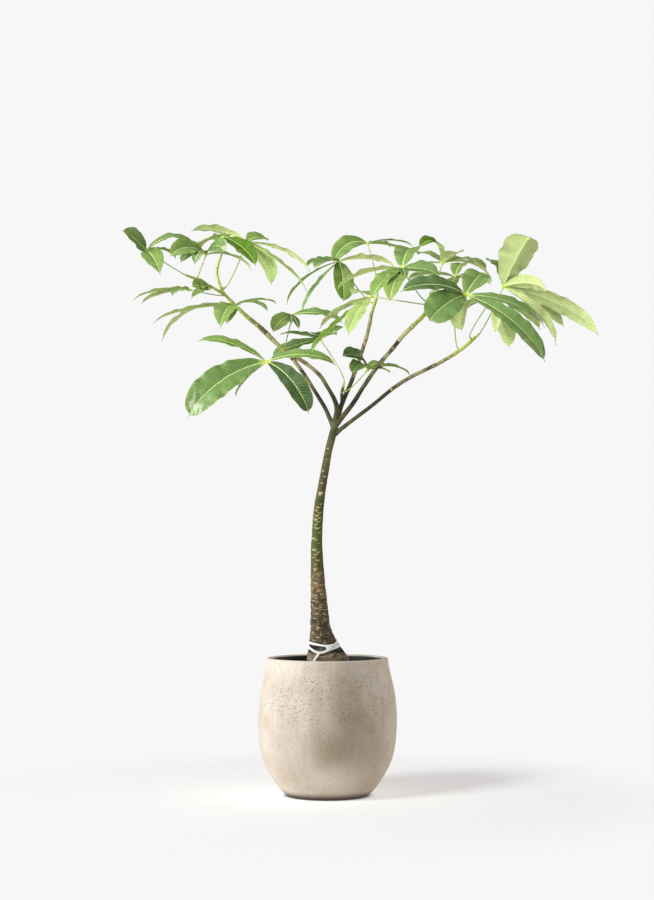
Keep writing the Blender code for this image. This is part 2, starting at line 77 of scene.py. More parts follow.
def unit(vector):
    # each vector made one long
    return vector / np.linalg.norm(vector, axis=-1, keepdims=True)


def smoothCurve(points, steps):
    # a Catmull-Rom curve through the points, read at even shares of the way, ends included
    points = np.asarray(points, float)
    ends = np.vstack([2 * points[0] - points[1], points, 2 * points[-1] - points[-2]])
    share = np.linspace(0, len(points) - 1, steps)
    span = np.minimum(share.astype(int), len(points) - 2)
    t = (share - span)[:, None]
    a, b, c, d = (ends[span + i] for i in range(4))
    return 0.5 * (2 * b + (c - a) * t + (2 * a - 5 * b + 4 * c - d) * t**2
                  + (3 * b - a - 3 * c + d) * t**3)


def softNoise(across, along, columns, seed):
    # value noise: seeded numbers from -1 to 1 on a lattice, joined by smooth steps;
    # it repeats after that many columns, so it closes round a stem or a pot
    across, along = np.broadcast_arrays(across, along)
    column, row = np.floor(across).astype(int), np.floor(along).astype(int)
    x, y = across - column, along - row
    x, y = x * x * (3 - 2 * x), y * y * (3 - 2 * y)
    row = row - row.min()
    lattice = np.random.default_rng(seed).uniform(-1, 1, (row.max() + 2, columns))
    left, right = column % columns, (column + 1) % columns
    low = lattice[row, left] * (1 - x) + lattice[row, right] * x
    high = lattice[row + 1, left] * (1 - x) + lattice[row + 1, right] * x
    return low * (1 - y) + high * y


def noiseRound(turn, height, cells, rise, seed):
    # noise on a turned surface: so many cells round it, each with this rise
    return softNoise(turn / fullTurn * cells, height / rise, cells, seed)


def squareTo(path):
    # two directions square to a path at each point: the first is square to the one line
    # that the path's steps lean along least, so it never flips
    steps = unit(np.gradient(path, axis=0))
    helper = np.linalg.svd(steps)[2][-1]
    first = unit(np.cross(steps, helper))
    return first, np.cross(steps, first)


def runAlong(path):
    # the way covered along a path at each of its points, from 0
    return np.concatenate([[0], np.linalg.norm(np.diff(path, axis=0), axis=1).cumsum()])


# Surfaces: a part of a piece holds points, faces and a value of each field for each point

def gridFaces(rows, columns, closed=True):
    # quads between neighbouring rows and columns; closed joins the last column to the first
    i, j = np.meshgrid(np.arange(rows - 1), np.arange(columns if closed else columns - 1),
                       indexing="ij")
    k = (j + 1) % columns
    return np.stack([i * columns + j, i * columns + k,
                     (i + 1) * columns + k, (i + 1) * columns + j], axis=-1).reshape(-1, 4)


def capFaces(centre, start, columns):
    # triangles from one point to a ring of points
    j = np.arange(columns)
    return np.stack([np.full(columns, centre), start + j, start + (j + 1) % columns], axis=-1)


def closedPart(rings, finish=0, loop=False, **fields):
    # rings of points joined to a closed skin: a loop's last ring meets its first, and any
    # other has a middle point over each end; the faces are turned round if the volume
    # inside them comes out below zero
    rows, columns = rings.shape[:2]
    points = rings.reshape(-1, 3)
    faces = [gridFaces(rows, columns)]
    if loop:
        last = gridFaces(2, columns)
        faces.append(np.where(last < columns, last + (rows - 1) * columns, last - columns))
    else:
        low, high = rows * columns, rows * columns + 1
        points = np.vstack([points, rings[0].mean(axis=0), rings[-1].mean(axis=0)])
        faces.append(capFaces(low, 0, columns)[:, ::-1])
        faces.append(capFaces(high, (rows - 1) * columns, columns))
    corners = points - points.mean(axis=0)
    a, b, c = (corners[faces[0][:, i]] for i in (0, 1, 2))
    if np.einsum("ij,ij->i", a, np.cross(b, c)).sum() < 0:
        faces = [block[:, ::-1] for block in faces]
    values = {}
    for name, value in fields.items():
        grid = np.broadcast_to(value, (rows, columns))
        ends = [] if loop else [grid[0].mean(), grid[-1].mean()]
        values[name] = np.concatenate([grid.ravel(), ends])
    return {"points": points, "faces": faces, "fields": values, "finish": finish}


def sweptTube(path, radii, sides, finish=0, **fields):
    # circles of the given radii square to a path; radii may also change round the circle
    first, second = squareTo(path)
    turn = np.linspace(0, fullTurn, sides, endpoint=False)
    radii = np.broadcast_to(np.reshape(radii, (len(path), -1)), (len(path), sides))
    offset = (first[:, None] * np.cos(turn)[None, :, None]
              + second[:, None] * np.sin(turn)[None, :, None])
    return closedPart(path[:, None] + offset * radii[..., None], finish, **fields)


def addObject(name, data):
    made = bpy.data.objects.new(name, data)
    bpy.context.scene.collection.objects.link(made)
    return made


def makePiece(name, parts, finishes, node, sharpDegrees=50):
    # one mesh of several parts; it stands for a node and takes its finish from a slot
    counts = [len(part["points"]) for part in parts]
    starts = np.concatenate([[0], np.cumsum(counts)[:-1]])
    faces, finishOf = [], []
    for part, start in zip(parts, starts):
        for block in part["faces"]:
            faces += (block + start).tolist()
            finishOf += [part["finish"]] * len(block)
    mesh = bpy.data.meshes.new(name)
    mesh.from_pydata((np.vstack([part["points"] for part in parts]) * mm).tolist(), [], faces)
    for field in sorted({field for part in parts for field in part["fields"]}):
        values = [part["fields"].get(field, np.zeros(count)) for part, count in zip(parts, counts)]
        made = mesh.attributes.new(field, "FLOAT", "POINT")
        made.data.foreach_set("value", np.concatenate(values).astype(np.float32))
    for finish in finishes:
        mesh.materials.append(finish)
    mesh.polygons.foreach_set("material_index", finishOf)
    mesh.shade_smooth()
    mesh.set_sharp_from_angle(angle=math.radians(sharpDegrees))
    mesh.update()
    piece = addObject(name, mesh)
    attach(piece, "root")
    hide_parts(node)
    return piece


# Shader nodes

def addNode(tree, kind, values=None, **settings):
    made = tree.nodes.new("ShaderNode" + kind)
    for name, value in settings.items():
        setattr(made, name, value)
    for socket, value in (values or {}).items():
        feed(tree, made.inputs[socket], value)
    return made


def feed(tree, socket, value):
    # a socket takes a link from another node, or a fixed value; a colour gets its alpha
    if isinstance(value, bpy.types.NodeSocket):
        tree.links.new(value, socket)
    elif socket.type == "RGBA":
        socket.default_value = (*value, 1)
    else:
        socket.default_value = value


def calc(tree, operation, first, second=0.0, clamp=False):
    made = addNode(tree, "Math", {0: first, 1: second}, operation=operation, use_clamp=clamp)
    return made.outputs[0]


def easeNode(tree, value, low, high, start=0.0, end=1.0):
    # the same smooth step as ease, from start to end
    made = addNode(tree, "MapRange", {"Value": value, "From Min": low, "From Max": high,
                                      "To Min": start, "To Max": end},
                   interpolation_type="SMOOTHSTEP")
    return made.outputs["Result"]


def bandNode(tree, value, rise, fall, before=0.0, after=0.0):
    # 1 between a smooth step up and a smooth step down, and other values outside them
    up = easeNode(tree, value, *rise, before, 1.0)
    return calc(tree, "MULTIPLY", up, easeNode(tree, value, *fall, 1.0, after))


def mixColours(tree, share, first, second):
    made = addNode(tree, "Mix", {0: share, 6: first, 7: second}, data_type="RGBA")
    return made.outputs[2]


def tint(tree, colour, mask, other, strength=1.0):
    # the colour, drawn towards another one by a mask times a strength
    share = mask if strength == 1.0 else calc(tree, "MULTIPLY", mask, strength)
    return mixColours(tree, share, colour, other)


def fieldNode(tree, name):
    return addNode(tree, "Attribute", attribute_name=name).outputs["Fac"]


def placeNode(tree, stretch=(1, 1, 1)):
    # Object coordinates in metres, stretched by a Mapping node
    place = addNode(tree, "TexCoord").outputs["Object"]
    return addNode(tree, "Mapping", {"Vector": place, "Scale": stretch}).outputs["Vector"]


def newMaterial(name, **constants):
    # a material whose shader already holds its constant values
    made = bpy.data.materials.new(name)
    made.use_nodes = True
    shader = made.node_tree.nodes["Principled BSDF"]
    for socket, value in constants.items():
        shader.inputs[socket.replace("_", " ")].default_value = value
    return made, made.node_tree, shader


def heightNode(tree, place):
    return addNode(tree, "SeparateXYZ", {"Vector": place}).outputs["Z"]


def dress(tree, shader, colour, relief, strength, depth):
    # a colour and a relief for a shader, the relief through a Bump node
    bump = addNode(tree, "Bump", {"Height": relief, "Strength": strength, "Distance": depth})
    tree.links.new(colour, shader.inputs["Base Color"])
    tree.links.new(bump.outputs["Normal"], shader.inputs["Normal"])


def newGroup(name, sockets, output):
    # a node group with one float output; sockets gives each input's type and first value
    group = bpy.data.node_groups.new(name, "ShaderNodeTree")
    for label, kind, value in sockets:
        made = group.interface.new_socket(name=label, in_out="INPUT", socket_type=kind)
        if value is not None:
            made.default_value = value
    group.interface.new_socket(name=output, in_out="OUTPUT", socket_type="NodeSocketFloat")
    return group, group.nodes.new("NodeGroupInput").outputs, group.nodes.new("NodeGroupOutput")


def makePatchGroup():
    # soft patches from 0 to 1, from noise whose middle values are drawn apart
    group, given, result = newGroup("softPatches", (
        ("Vector", "NodeSocketVector", None), ("Scale", "NodeSocketFloat", 10.0),
        ("Detail", "NodeSocketFloat", 4.0), ("Low", "NodeSocketFloat", 0.35),
        ("High", "NodeSocketFloat", 0.65)), "Value")
    noise = addNode(group, "TexNoise", {"Vector": given["Vector"], "Scale": given["Scale"],
                                        "Detail": given["Detail"], "Roughness": 0.6})
    spread = easeNode(group, noise.outputs[0], given["Low"], given["High"])
    group.links.new(spread, result.inputs["Value"])
    return group


def makeDotGroup():
    # dots of chance size: cells of a lattice, of which a share hold a dot at their middle
    group, given, result = newGroup("chanceDots", (
        ("Vector", "NodeSocketVector", None), ("Scale", "NodeSocketFloat", 100.0),
        ("Size", "NodeSocketFloat", 0.3), ("Share", "NodeSocketFloat", 0.5)), "Mask")
    cells = addNode(group, "TexVoronoi", {"Vector": given["Vector"], "Scale": given["Scale"]})
    chance = addNode(group, "SeparateColor", {"Color": cells.outputs["Color"]})
    held = calc(group, "LESS_THAN", chance.outputs[0], given["Share"])
    size = calc(group, "MULTIPLY", given["Size"],
                easeNode(group, chance.outputs[1], 0.0, 1.0, 0.45, 1.0))
    inner = calc(group, "MULTIPLY", size, 0.45)
    dot = easeNode(group, cells.outputs["Distance"], inner, size, 1.0, 0.0)
    group.links.new(calc(group, "MULTIPLY", dot, held), result.inputs["Mask"])
    return group


patchGroup = makePatchGroup()
dotGroup = makeDotGroup()


def useGroup(tree, group, **values):
    made = addNode(tree, "Group", values, node_tree=group)
    return made.outputs[0]


def patches(tree, vector, scale, low=0.35, high=0.65, detail=4.0):
    return useGroup(tree, patchGroup, Vector=vector, Scale=scale, Detail=detail,
                    Low=low, High=high)


def dots(tree, vector, scale, size, share):
    return useGroup(tree, dotGroup, Vector=vector, Scale=scale, Size=size, Share=share)


# Camera, set by the photo's pot: its rim and its base fix the height and the distance

camera = {
    "place": (-1, -3680, 517),
    "tiltUp": 3.17,  # degrees
    "focalPixels": 1746,
    "sensor": 36,  # on the picture's long side
}


def makeCamera():
    data = bpy.data.cameras.new("photoCamera")
    data.sensor_width = camera["sensor"]
    data.lens = camera["focalPixels"] * camera["sensor"] / max(photoSize)
    data.clip_end = 50
    made = addObject("photoCamera", data)
    made.location = [c * mm for c in camera["place"]]
    made.rotation_euler = (math.radians(90 + camera["tiltUp"]), 0, 0)
    bpy.context.scene.camera = made


makeCamera()


# Pot: concrete, turned

pot = {
    # radius and height of points on its outer side, with a smooth curve through them
    "side": ((82, 0), (96, 10), (114, 34), (133, 70), (142, 108), (145, 160),
             (142, 205), (135, 240), (129, 266), (127.5, 280)),
    "baseCorner": 79,
    "middleRing": 4,  # radius of the ring round the middle of its base and of its floor
    "wall": 12,
    "floor": 16,
    "cove": (8, 10),  # rise and inset of the round between the floor and the wall
    "rimRise": 5,
    "rimBlunt": 0.6,  # below 1, the rim is flatter than a half ring
    "sides": 320,
    "flatRows": 12,
    "outerRows": 150,
    "rimRows": 22,
    "innerRows": 60,
    "uneven": 0.35,
    "dents": 0.5,
    # cells round the pot, rise of a cell and seed of its slow waves and of its dents
    "waveNoise": (9, 55, 11),
    "dentNoise": (70, 12, 12),
    "dentsFrom": 0.55,  # the noise below this, taken as negative, makes dents
    "unevenSpans": ((4, 25), (284, 262)),
    "unevenPast": 100,  # radius past which the wall is uneven
    "darkRow": 18,  # of the rim's rows, past which the dark inside starts
    "darkSpan": (284, 281),
    # middle and reach of each dark, olive-brown spot, partly real stain and partly painted shade,
    # and of one pale spot of painted bounce light
    "shadeAndStainSpots": (((38, -132, 222), (62, 85, 78)), ((42, -134, 165), (66, 85, 72)),
               ((6, -140, 118), (74, 80, 72))),
    "shadeAndStainStrength": 0.56,
    "paintedBounceLight": ((22, -118, 42), (85, 75, 58)),
}


def potSide(steps):
    # radius and height along its outer side, from the base to the rim
    return smoothCurve(pot["side"], steps)


def potInnerRadius(height):
    # the outer side's radius at a height, less the wall
    side = potSide(fineSteps)
    return np.interp(height, side[:, 1], side[:, 0]) - pot["wall"]


def potProfile():
    # radius and height from the base's middle up the outer side, over the rim and down inside
    side = potSide(pot["outerRows"])
    base = [(r, 0) for r in np.linspace(pot["middleRing"], pot["baseCorner"], pot["flatRows"])]
    across = np.linspace(0, np.pi, pot["rimRows"])
    bluntCos = np.sign(np.cos(across)) * np.abs(np.cos(across)) ** pot["rimBlunt"]
    bluntSin = np.abs(np.sin(across)) ** pot["rimBlunt"]
    outerRadius, rimHeight = pot["side"][-1]
    rim = np.stack([outerRadius - pot["wall"] / 2 * (1 - bluntCos),
                    rimHeight + pot["rimRise"] * bluntSin], axis=-1)
    rise, inset = pot["cove"]
    down = np.linspace(rimHeight, pot["floor"] + rise, pot["innerRows"])[1:]
    inner = np.stack([potInnerRadius(down), down], axis=-1)
    floorRadius = inner[-1, 0] - inset
    flat = [(r, pot["floor"])
            for r in np.linspace(floorRadius, pot["middleRing"], pot["flatRows"])]
    return np.vstack([base, side[1:-1], rim, inner, flat])


def turnedRings(profile, sides, uneven=None):
    # each (radius, height) carried round Z; uneven moves the radius by turn and height
    turn = np.linspace(0, fullTurn, sides, endpoint=False)[None, :]
    radius, height = profile[:, :1], profile[:, 1:]
    if uneven is not None:
        radius = radius + uneven(turn, height, radius)
    return np.stack([radius * np.cos(turn), radius * np.sin(turn),
                     np.broadcast_to(height, np.broadcast(radius, turn).shape)], axis=-1)


def potUneven(turn, height, radius):
    # slow waves of the cast wall and shallow dents, which fade out at the base and the rim
    slow = noiseRound(turn, height, *pot["waveNoise"])
    dent = np.minimum(noiseRound(turn, height, *pot["dentNoise"]) + pot["dentsFrom"], 0)
    fade = calmEnds(pot["unevenSpans"], height) * (radius > pot["unevenPast"])
    return fade * (slow * pot["uneven"] + dent * pot["dents"])


concreteColours = {
    "pale": (0.560, 0.515, 0.460),
    "dull": (0.480, 0.415, 0.350),
    "streak": (0.42, 0.335, 0.245),
    "grain": (0.68, 0.61, 0.53),
    "shadeAndStain": (0.250, 0.198, 0.098),
    # painted bounce light: the pale colour of the spot low on the front
    "paintedBounceLight": (0.80, 0.74, 0.66),
    "sand": (0.26, 0.21, 0.15),
    "pit": (0.13, 0.10, 0.075),
    # foot: painted contact shade under the pot's rounded base
    "foot": (0.06, 0.038, 0.022),
    "inside": (0.012, 0.011, 0.010),
}


def spotNode(tree, place, centre, size):
    # a soft spot: 1 at a point on the pot and 0 from that far away, in millimetres
    away = addNode(tree, "VectorMath", {0: place, 1: tuple(c * mm for c in centre)},
                   operation="SUBTRACT").outputs["Vector"]
    share = addNode(tree, "VectorMath", {0: away, 1: tuple(c * mm for c in size)},
                    operation="DIVIDE").outputs["Vector"]
    reach = addNode(tree, "VectorMath", {0: share}, operation="LENGTH").outputs["Value"]
    return easeNode(tree, reach, 0.0, 1.0, 1.0, 0.0)


def shadeAndStainNode(tree, place):
    # the greatest of the soft spots of stain and painted shade, a little patchy
    shadeAndStain = 0.0
    for centre, size in pot["shadeAndStainSpots"]:
        shadeAndStain = calc(tree, "MAXIMUM", spotNode(tree, place, centre, size), shadeAndStain)
    wander = patches(tree, place, 40, 0.30, 0.70)
    shadeAndStain = calc(tree, "MULTIPLY", shadeAndStain, easeNode(tree, wander, 0.0, 1.0, 0.78, 1.0))
    return calc(tree, "MULTIPLY", shadeAndStain, pot["shadeAndStainStrength"])


def concreteFinish():
    # blotches, upright streaks and grain, then the stains, partly real stain and partly painted
    # shade, a pale spot of painted bounce light, sandy specks and small pits in a belt round the
    # pot, large pits all over, the dark foot of painted contact shade and the dark inside
    made, tree, shader = newMaterial("concrete", Roughness=0.8)
    look = concreteColours
    place, tall = placeNode(tree), placeNode(tree, (1, 1, 0.12))
    height = heightNode(tree, place)
    blotches = patches(tree, place, 16, 0.38, 0.66)
    streaks = patches(tree, tall, 60, 0.40, 0.70, 3.0)
    grain = patches(tree, place, 420, 0.30, 0.70, 2.0)
    colour = mixColours(tree, blotches, look["pale"], look["dull"])
    colour = tint(tree, colour, streaks, look["streak"], 0.4)
    colour = tint(tree, colour, grain, look["grain"], 0.3)
    # dark olive-brown spots on the pot's front: partly real stain, partly painted shade
    colour = tint(tree, colour, shadeAndStainNode(tree, place), look["shadeAndStain"])
    # painted bounce light from the floor on the lower front of the pot
    colour = tint(tree, colour, spotNode(tree, place, *pot["paintedBounceLight"]), look["paintedBounceLight"])
    belt = bandNode(tree, height, (0.09, 0.19), (0.24, 0.275), 0.25, 0.2)
    crowd = calc(tree, "MULTIPLY", patches(tree, place, 26, 0.34, 0.54, 2.0), belt)
    sandy = calc(tree, "MULTIPLY", patches(tree, place, 330, 0.52, 0.62, 3.0), crowd)
    colour = tint(tree, colour, sandy, look["sand"], 0.35)
    small = calc(tree, "MULTIPLY", dots(tree, place, 300, 0.52, 0.62), crowd)
    pits = calc(tree, "MAXIMUM", small, dots(tree, place, 150, 0.26, 0.20))
    colour = tint(tree, colour, pits, look["pit"], 0.8)
    # painted contact shade: the lowest millimetres of the pot darkened
    colour = tint(tree, colour, easeNode(tree, height, 0.001, 0.018, 1.0, 0.0), look["foot"])
    colour = tint(tree, colour, fieldNode(tree, "inside"), look["inside"])
    relief = calc(tree, "SUBTRACT", calc(tree, "MULTIPLY", grain, 0.25), pits)
    dress(tree, shader, colour, relief, 0.5, 0.0012)
    return made


def makePot():
    profile = potProfile()
    rings = turnedRings(profile, pot["sides"], potUneven)
    row = np.arange(len(profile))[:, None]
    darkRow = pot["flatRows"] + pot["outerRows"] - 2 + pot["darkRow"]
    inside = (row > darkRow) * ease(*pot["darkSpan"], profile[:, 1:])
    part = closedPart(rings, inside=inside)
    return makePiece("pot_body", [part], [concreteFinish()], "pot")


makePot()
print("pot made")


# Trunk: a stem with a lobed foot, bark, leaf scars, and tubes for its branches

trunk = {
    # centre x, y, height and radius of the stem
    "stem": (
        (2, 0, 200, 30), (2, 0, 255, 38), (1, 0, 282, 37.5), (-3, 0, 298, 34),
        (-8, 0, 312, 30), (-11, 0, 330, 25.5), (-15, 0, 353, 20.5), (-18, 2, 407, 17),
        (-21.5, 4, 476, 13.5), (-22.5, 5, 529, 11.7), (-18, 4, 598, 10.4), (-7, 0, 669, 8.6),
        (3, -3, 721, 8), (12, -2, 757, 8), (16, 0, 775, 7.6), (18, 0, 790, 5.5),
    ),
    "sides": 96,
    "rows": 640,
    "lobes": 3,
    "lobeTurn": -30,  # degrees; one lobe points to the right and forward
    "lobeDepth": 9,
    "lobeTop": 326,
    "lobeFull": 285,
    "lumps": 0.5,
    "bark": 0.85,  # relief of the rough bark low on the stem
    "scarRise": 0.7,
    "scarBend": 0.25,  # how far a scar's ends turn up, as a share of its width
    # parts of the change from skin to rough bark, each with the heights it takes place over
    "roughening": ((0.8, (520, 400)), (0.2, (400, 330))),
    # cells round the stem, rise of a cell and seed of its lumps and its two sizes of plates
    "lumpNoise": (5, 34, 21),
    "plateNoise": (22, 7, 22),
    "smallPlateNoise": (40, 3, 23),
    "unevenSpans": ((200, 215), (790, 780)),
}

# leaf scars on the side that the photo shows: height, turn in degrees, width and height
frontScars = (
    (723, -110, 8, 2), (700, -80, 6, 1.6), (675, -115, 8, 2.4), (664, -75, 7, 2.4),
    (650, -100, 9, 2), (628, -95, 11, 7), (606, -70, 9, 2), (599, -95, 13, 2.4),
    (593, -120, 11, 2.2), (588, -75, 12, 2.2), (582, -105, 14, 2.4), (577, -65, 10, 2),
    (574, -115, 13, 3.6), (569, -85, 13, 2.2), (563, -110, 11, 2), (555, -90, 18, 2.8),
    (546, -60, 9, 2), (534, -130, 12, 3.4), (531, -95, 12, 2), (524, -65, 9, 2),
    (510, -115, 15, 3), (505, -75, 12, 2), (500, -105, 14, 2.4), (494, -120, 12, 2.2),
    (488, -80, 13, 2.4), (479, -105, 9, 2), (470, -110, 12, 3), (458, -80, 10, 2.4),
    (440, -110, 12, 2.4), (424, -85, 12, 2.4), (416, -70, 9, 3), (402, -110, 12, 2.4),
    (390, -80, 10, 2.4), (378, -60, 11, 2.4),
)
# and on the far side, each a golden turn from the last and strayed a little in height
backScars = {
    "count": 34,
    "seed": 5,
    "span": (380, 735),
    "stray": 4,
    "goldenTurn": 137.5,
    "width": (7, 12),
    "height": (2.5, 5),
}


def stemCentre(height):
    # x and y of the stem's middle line at a height
    curve = smoothCurve(trunk["stem"], fineSteps)
    return np.stack([np.interp(height, curve[:, 2], curve[:, i]) for i in (0, 1)], axis=-1)


def stemRadius(height, turn):
    # the round stem plus three root lobes that run out into it
    curve = smoothCurve(trunk["stem"], fineSteps)
    stem = np.interp(height, curve[:, 2], curve[:, 3])
    share = ease(trunk["lobeTop"], trunk["lobeFull"], height)
    lobe = 0.5 + 0.5 * np.cos(trunk["lobes"] * (turn - math.radians(trunk["lobeTurn"])))
    return stem + trunk["lobeDepth"] * share * lobe


def stemPoints(height, turn, out=0.0):
    # points on the stem's surface, or that far outside it
    radius = stemRadius(height, turn) + out
    centre = stemCentre(height)
    return np.stack([centre[..., 0] + radius * np.cos(turn),
                     centre[..., 1] + radius * np.sin(turn),
                     np.broadcast_to(height, np.shape(radius))], axis=-1)


def allScars():
    # height, turn in degrees, width and height of each scar, front and far side
    rng = np.random.default_rng(backScars["seed"])
    count, stray = backScars["count"], backScars["stray"]
    height = np.linspace(*backScars["span"], count) + rng.uniform(-stray, stray, count)
    turn = (np.arange(count) * backScars["goldenTurn"]) % 180
    back = np.stack([height, turn, rng.uniform(*backScars["width"], count),
                     rng.uniform(*backScars["height"], count)], axis=-1)
    return np.vstack([np.array(frontScars, float), back])


def scarMask(height, turn):
    # a lens for each scar, whose ends turn up: 1 on it and 0 off it
    mask = np.zeros(np.broadcast(height, turn).shape)
    for scarHeight, scarTurn, width, tall in allScars():
        aside = (turn - math.radians(scarTurn) + np.pi) % fullTurn - np.pi
        aside = aside * stemRadius(np.float64(scarHeight), 0.0) / (width / 2)
        bend = trunk["scarBend"] * width * np.clip(aside, -1, 1) ** 2
        above = (height - scarHeight - bend) / (tall / 2)
        mask = np.maximum(mask, ease(0, 0.5, 1 - aside**2 - above**2))
    return mask


def barkRough(height):
    # how far the bark has turned from green skin to rough brown: 1 low on the stem
    return sum(part * ease(*span, height) for part, span in trunk["roughening"])


def stemPart():
    # rings from the foot up the stem: its surface moved out by slow lumps, by plates of bark
    # between the scars, and by the scars
    curve = smoothCurve(trunk["stem"], trunk["rows"])
    height = curve[:, 2:3]
    turn = np.linspace(0, fullTurn, trunk["sides"], endpoint=False)[None, :]
    scar = scarMask(height, turn)
    lumps = noiseRound(turn, height, *trunk["lumpNoise"])
    plates = noiseRound(turn, height, *trunk["plateNoise"]) + 0.6 * noiseRound(
        turn, height, *trunk["smallPlateNoise"])
    rough = np.broadcast_to(barkRough(height), scar.shape)
    out = trunk["lumps"] * lumps + trunk["bark"] * (0.25 + rough) * plates * (1 - scar)
    out = out + trunk["scarRise"] * scar * (1 - 0.6 * rough)
    rings = stemPoints(height, turn, out * calmEnds(trunk["unevenSpans"], height))
    return closedPart(rings, scar=scar, rough=rough, young=0.0)


# Branches: x, y, height and radius along each, then how far its tip end is young and green,
# and the shares of its length where rings of old leaf scars stand
branches = {
    "low_right": ((
        (15, 0, 755, 5.0), (51, -8, 782, 4.2), (93, -18, 813, 4.0), (139, -25, 850, 4.0),
        (176, -30, 873, 4.0), (235, -35, 902, 3.8), (279, -38, 929, 3.6), (312, -40, 957, 3.2)),
        0.30, (0.42, 0.70, 0.76, 0.80, 0.84, 0.90, 0.95)),
    "high_right": ((
        (19, 0, 776, 5.5), (51, -12, 815, 5.0), (78, -30, 856, 4.6), (105, -45, 894, 4.4),
        (133, -60, 926, 4.2), (158, -70, 956, 4.4), (181, -78, 978, 4.2), (205, -85, 1003, 3.8),
        (212, -88, 1035, 3.6)),
        0.35, (0.60, 0.66, 0.72, 0.78, 0.84, 0.90, 0.96)),
    "middle": ((
        (19, 0, 776, 6.0), (25, 3, 801, 5.4), (34, 10, 828, 5.0), (47, 20, 858, 4.6),
        (60, 30, 893, 4.4), (75, 42, 938, 4.2), (88, 55, 982, 4.0), (96, 66, 1023, 3.6),
        (106, 72, 1054, 3.4)),
        0.15, (0.55, 0.68, 0.80, 0.90, 0.95)),
    "near_left": ((
        (18, 0, 784, 6.0), (20, -4, 809, 5.4), (13, -12, 830, 4.6), (0, -22, 852, 4.2),
        (-17, -32, 877, 4.2), (-44, -42, 899, 4.2), (-67, -50, 913, 4.2), (-98, -58, 931, 3.8)),
        0.05, (0.80, 0.88, 0.95)),
    "far_left": ((
        (15, 0, 763, 5.5), (6, 3, 785, 4.8), (-6, 8, 812, 4.4), (-27, 15, 847, 4.2),
        (-50, 22, 884, 4.2), (-79, 30, 923, 4.2), (-105, 33, 947, 4.4), (-135, 34, 978, 4.6),
        (-167, 32, 1004, 4.4), (-188, 30, 1023, 4.0), (-207, 27, 1042, 3.4), (-224, 25, 1060, 3.0)),
        0.30, (0.45, 0.55, 0.66, 0.74, 0.80, 0.86, 0.93)),
    "side_twig": ((
        (-220, 26, 1055, 3.0), (-254, 18, 1074, 2.6), (-277, 10, 1085, 2.6), (-295, 5, 1091, 2.6)),
        1.3, (0.3, 0.55, 0.75, 0.9)),
    "up_twig": ((
        (-222, 25, 1056, 3.0), (-231, 24, 1079, 2.8), (-236, 22, 1101, 2.8),
        (-233, 20, 1120, 2.6), (-228, 18, 1134, 2.4)),
        1.4, (0.5, 0.75, 0.9)),
    "inner_twig": (((32, 8, 823, 3.6), (30, 0, 839, 3.0), (34, -6, 858, 2.8)), 0.1, (0.6, 0.9)),
}
branch = {
    "sides": 18,
    "step": 2.4,  # length between two rings
    "solidStep": 28,  # the solids' own rings, which the stalks stand on
    "tip": 0.6,
    "flare": 0.28,  # how much thicker a branch starts
    "flareReach": 16,
    "ring": 0.16,  # how far a ring of scars stands out, as a share of the radius
    "ringReach": 3.2,
    "lumps": 0.05,
    "lumpNoise": (4, 12),
}


def branchPart(name, seed):
    # a tube along the branch's curve, flared at its start, with a swelling at each ring of scars
    route, youngShare, ringShares = branches[name]
    route = np.asarray(route, float)
    curve = smoothCurve(route, round(runAlong(route[:, :3])[-1] / branch["step"]))
    run = runAlong(curve[:, :3])[:, None]
    turn = np.linspace(0, fullTurn, branch["sides"], endpoint=False)[None, :]
    rings = np.array(ringShares) * run[-1, 0]
    ring = np.exp(-((run[..., None] - rings) / branch["ringReach"]) ** 2).max(axis=-1)
    scar = np.exp(-((run[..., None] - rings) / (0.4 * branch["ringReach"])) ** 2).max(axis=-1)
    flare = branch["flare"] * (1 - ease(0, branch["flareReach"], run))
    lumps = branch["lumps"] * noiseRound(turn, run, *branch["lumpNoise"], seed)
    radii = curve[:, 3:] * (1 + flare + branch["ring"] * ring + lumps)
    end = ease(run[-1, 0], run[-1, 0] - curve[-1, 3], run)
    radii = radii * (branch["tip"] + (1 - branch["tip"]) * np.sqrt(end))
    young = ease(1 - youngShare, 1 - 0.35 * youngShare, run / run[-1, 0])
    return sweptTube(curve[:, :3], radii, branch["sides"], scar=scar, young=young, rough=0.0)


# heights in metres over which each look of the bark comes in, or comes in and goes out
barkZones = {
    "crowded": ((0.46, 0.50), (0.600, 0.625)),
    "lively": ((0.490, 0.515), (0.575, 0.600)),
    # heights of the painted shadow under the cord
    "paintedCordShadow": ((0.290, 0.300), (0.314, 0.320)),
    "low": (0.37, 0.43),
    "root": (0.300, 0.316),
    "twig": (0.77, 0.83),
    "innerTwig": (0.81, 0.89),
    "outerTwig": (0.84, 0.90),
}
barkColours = {
    "skin": ((0.092, 0.088, 0.036), (0.050, 0.050, 0.022)),
    "crowded": (0.055, 0.048, 0.012),
    "lively": (0.055, 0.085, 0.016),
    "brown": ((0.215, 0.130, 0.060), (0.085, 0.066, 0.030)),
    "low": (0.038, 0.031, 0.018),
    "root": (0.200, 0.145, 0.095),
    "streak": (0.25, 0.19, 0.11),
    "crack": (0.026, 0.020, 0.012),
    "dash": (0.42, 0.36, 0.23),
    "paintedCordShadow": (0.010, 0.008, 0.006),
    "twig": ((0.115, 0.108, 0.048), (0.026, 0.023, 0.013)),
    "innerTwig": (0.022, 0.020, 0.013),
    "outerTwig": (0.270, 0.255, 0.130),
    "fresh": ((0.36, 0.42, 0.055), (0.24, 0.27, 0.05)),
    "scar": ((0.60, 0.54, 0.27), (0.38, 0.27, 0.13)),
}


def skinColour(tree, height, mottle):
    # green-brown skin, yellower where the scars crowd and greener in the middle of that
    colour = mixColours(tree, mottle, *barkColours["skin"])
    crowded = bandNode(tree, height, *barkZones["crowded"])
    colour = tint(tree, colour, crowded, barkColours["crowded"], 0.6)
    lively = bandNode(tree, height, *barkZones["lively"])
    return tint(tree, colour, lively, barkColours["lively"], 0.7)


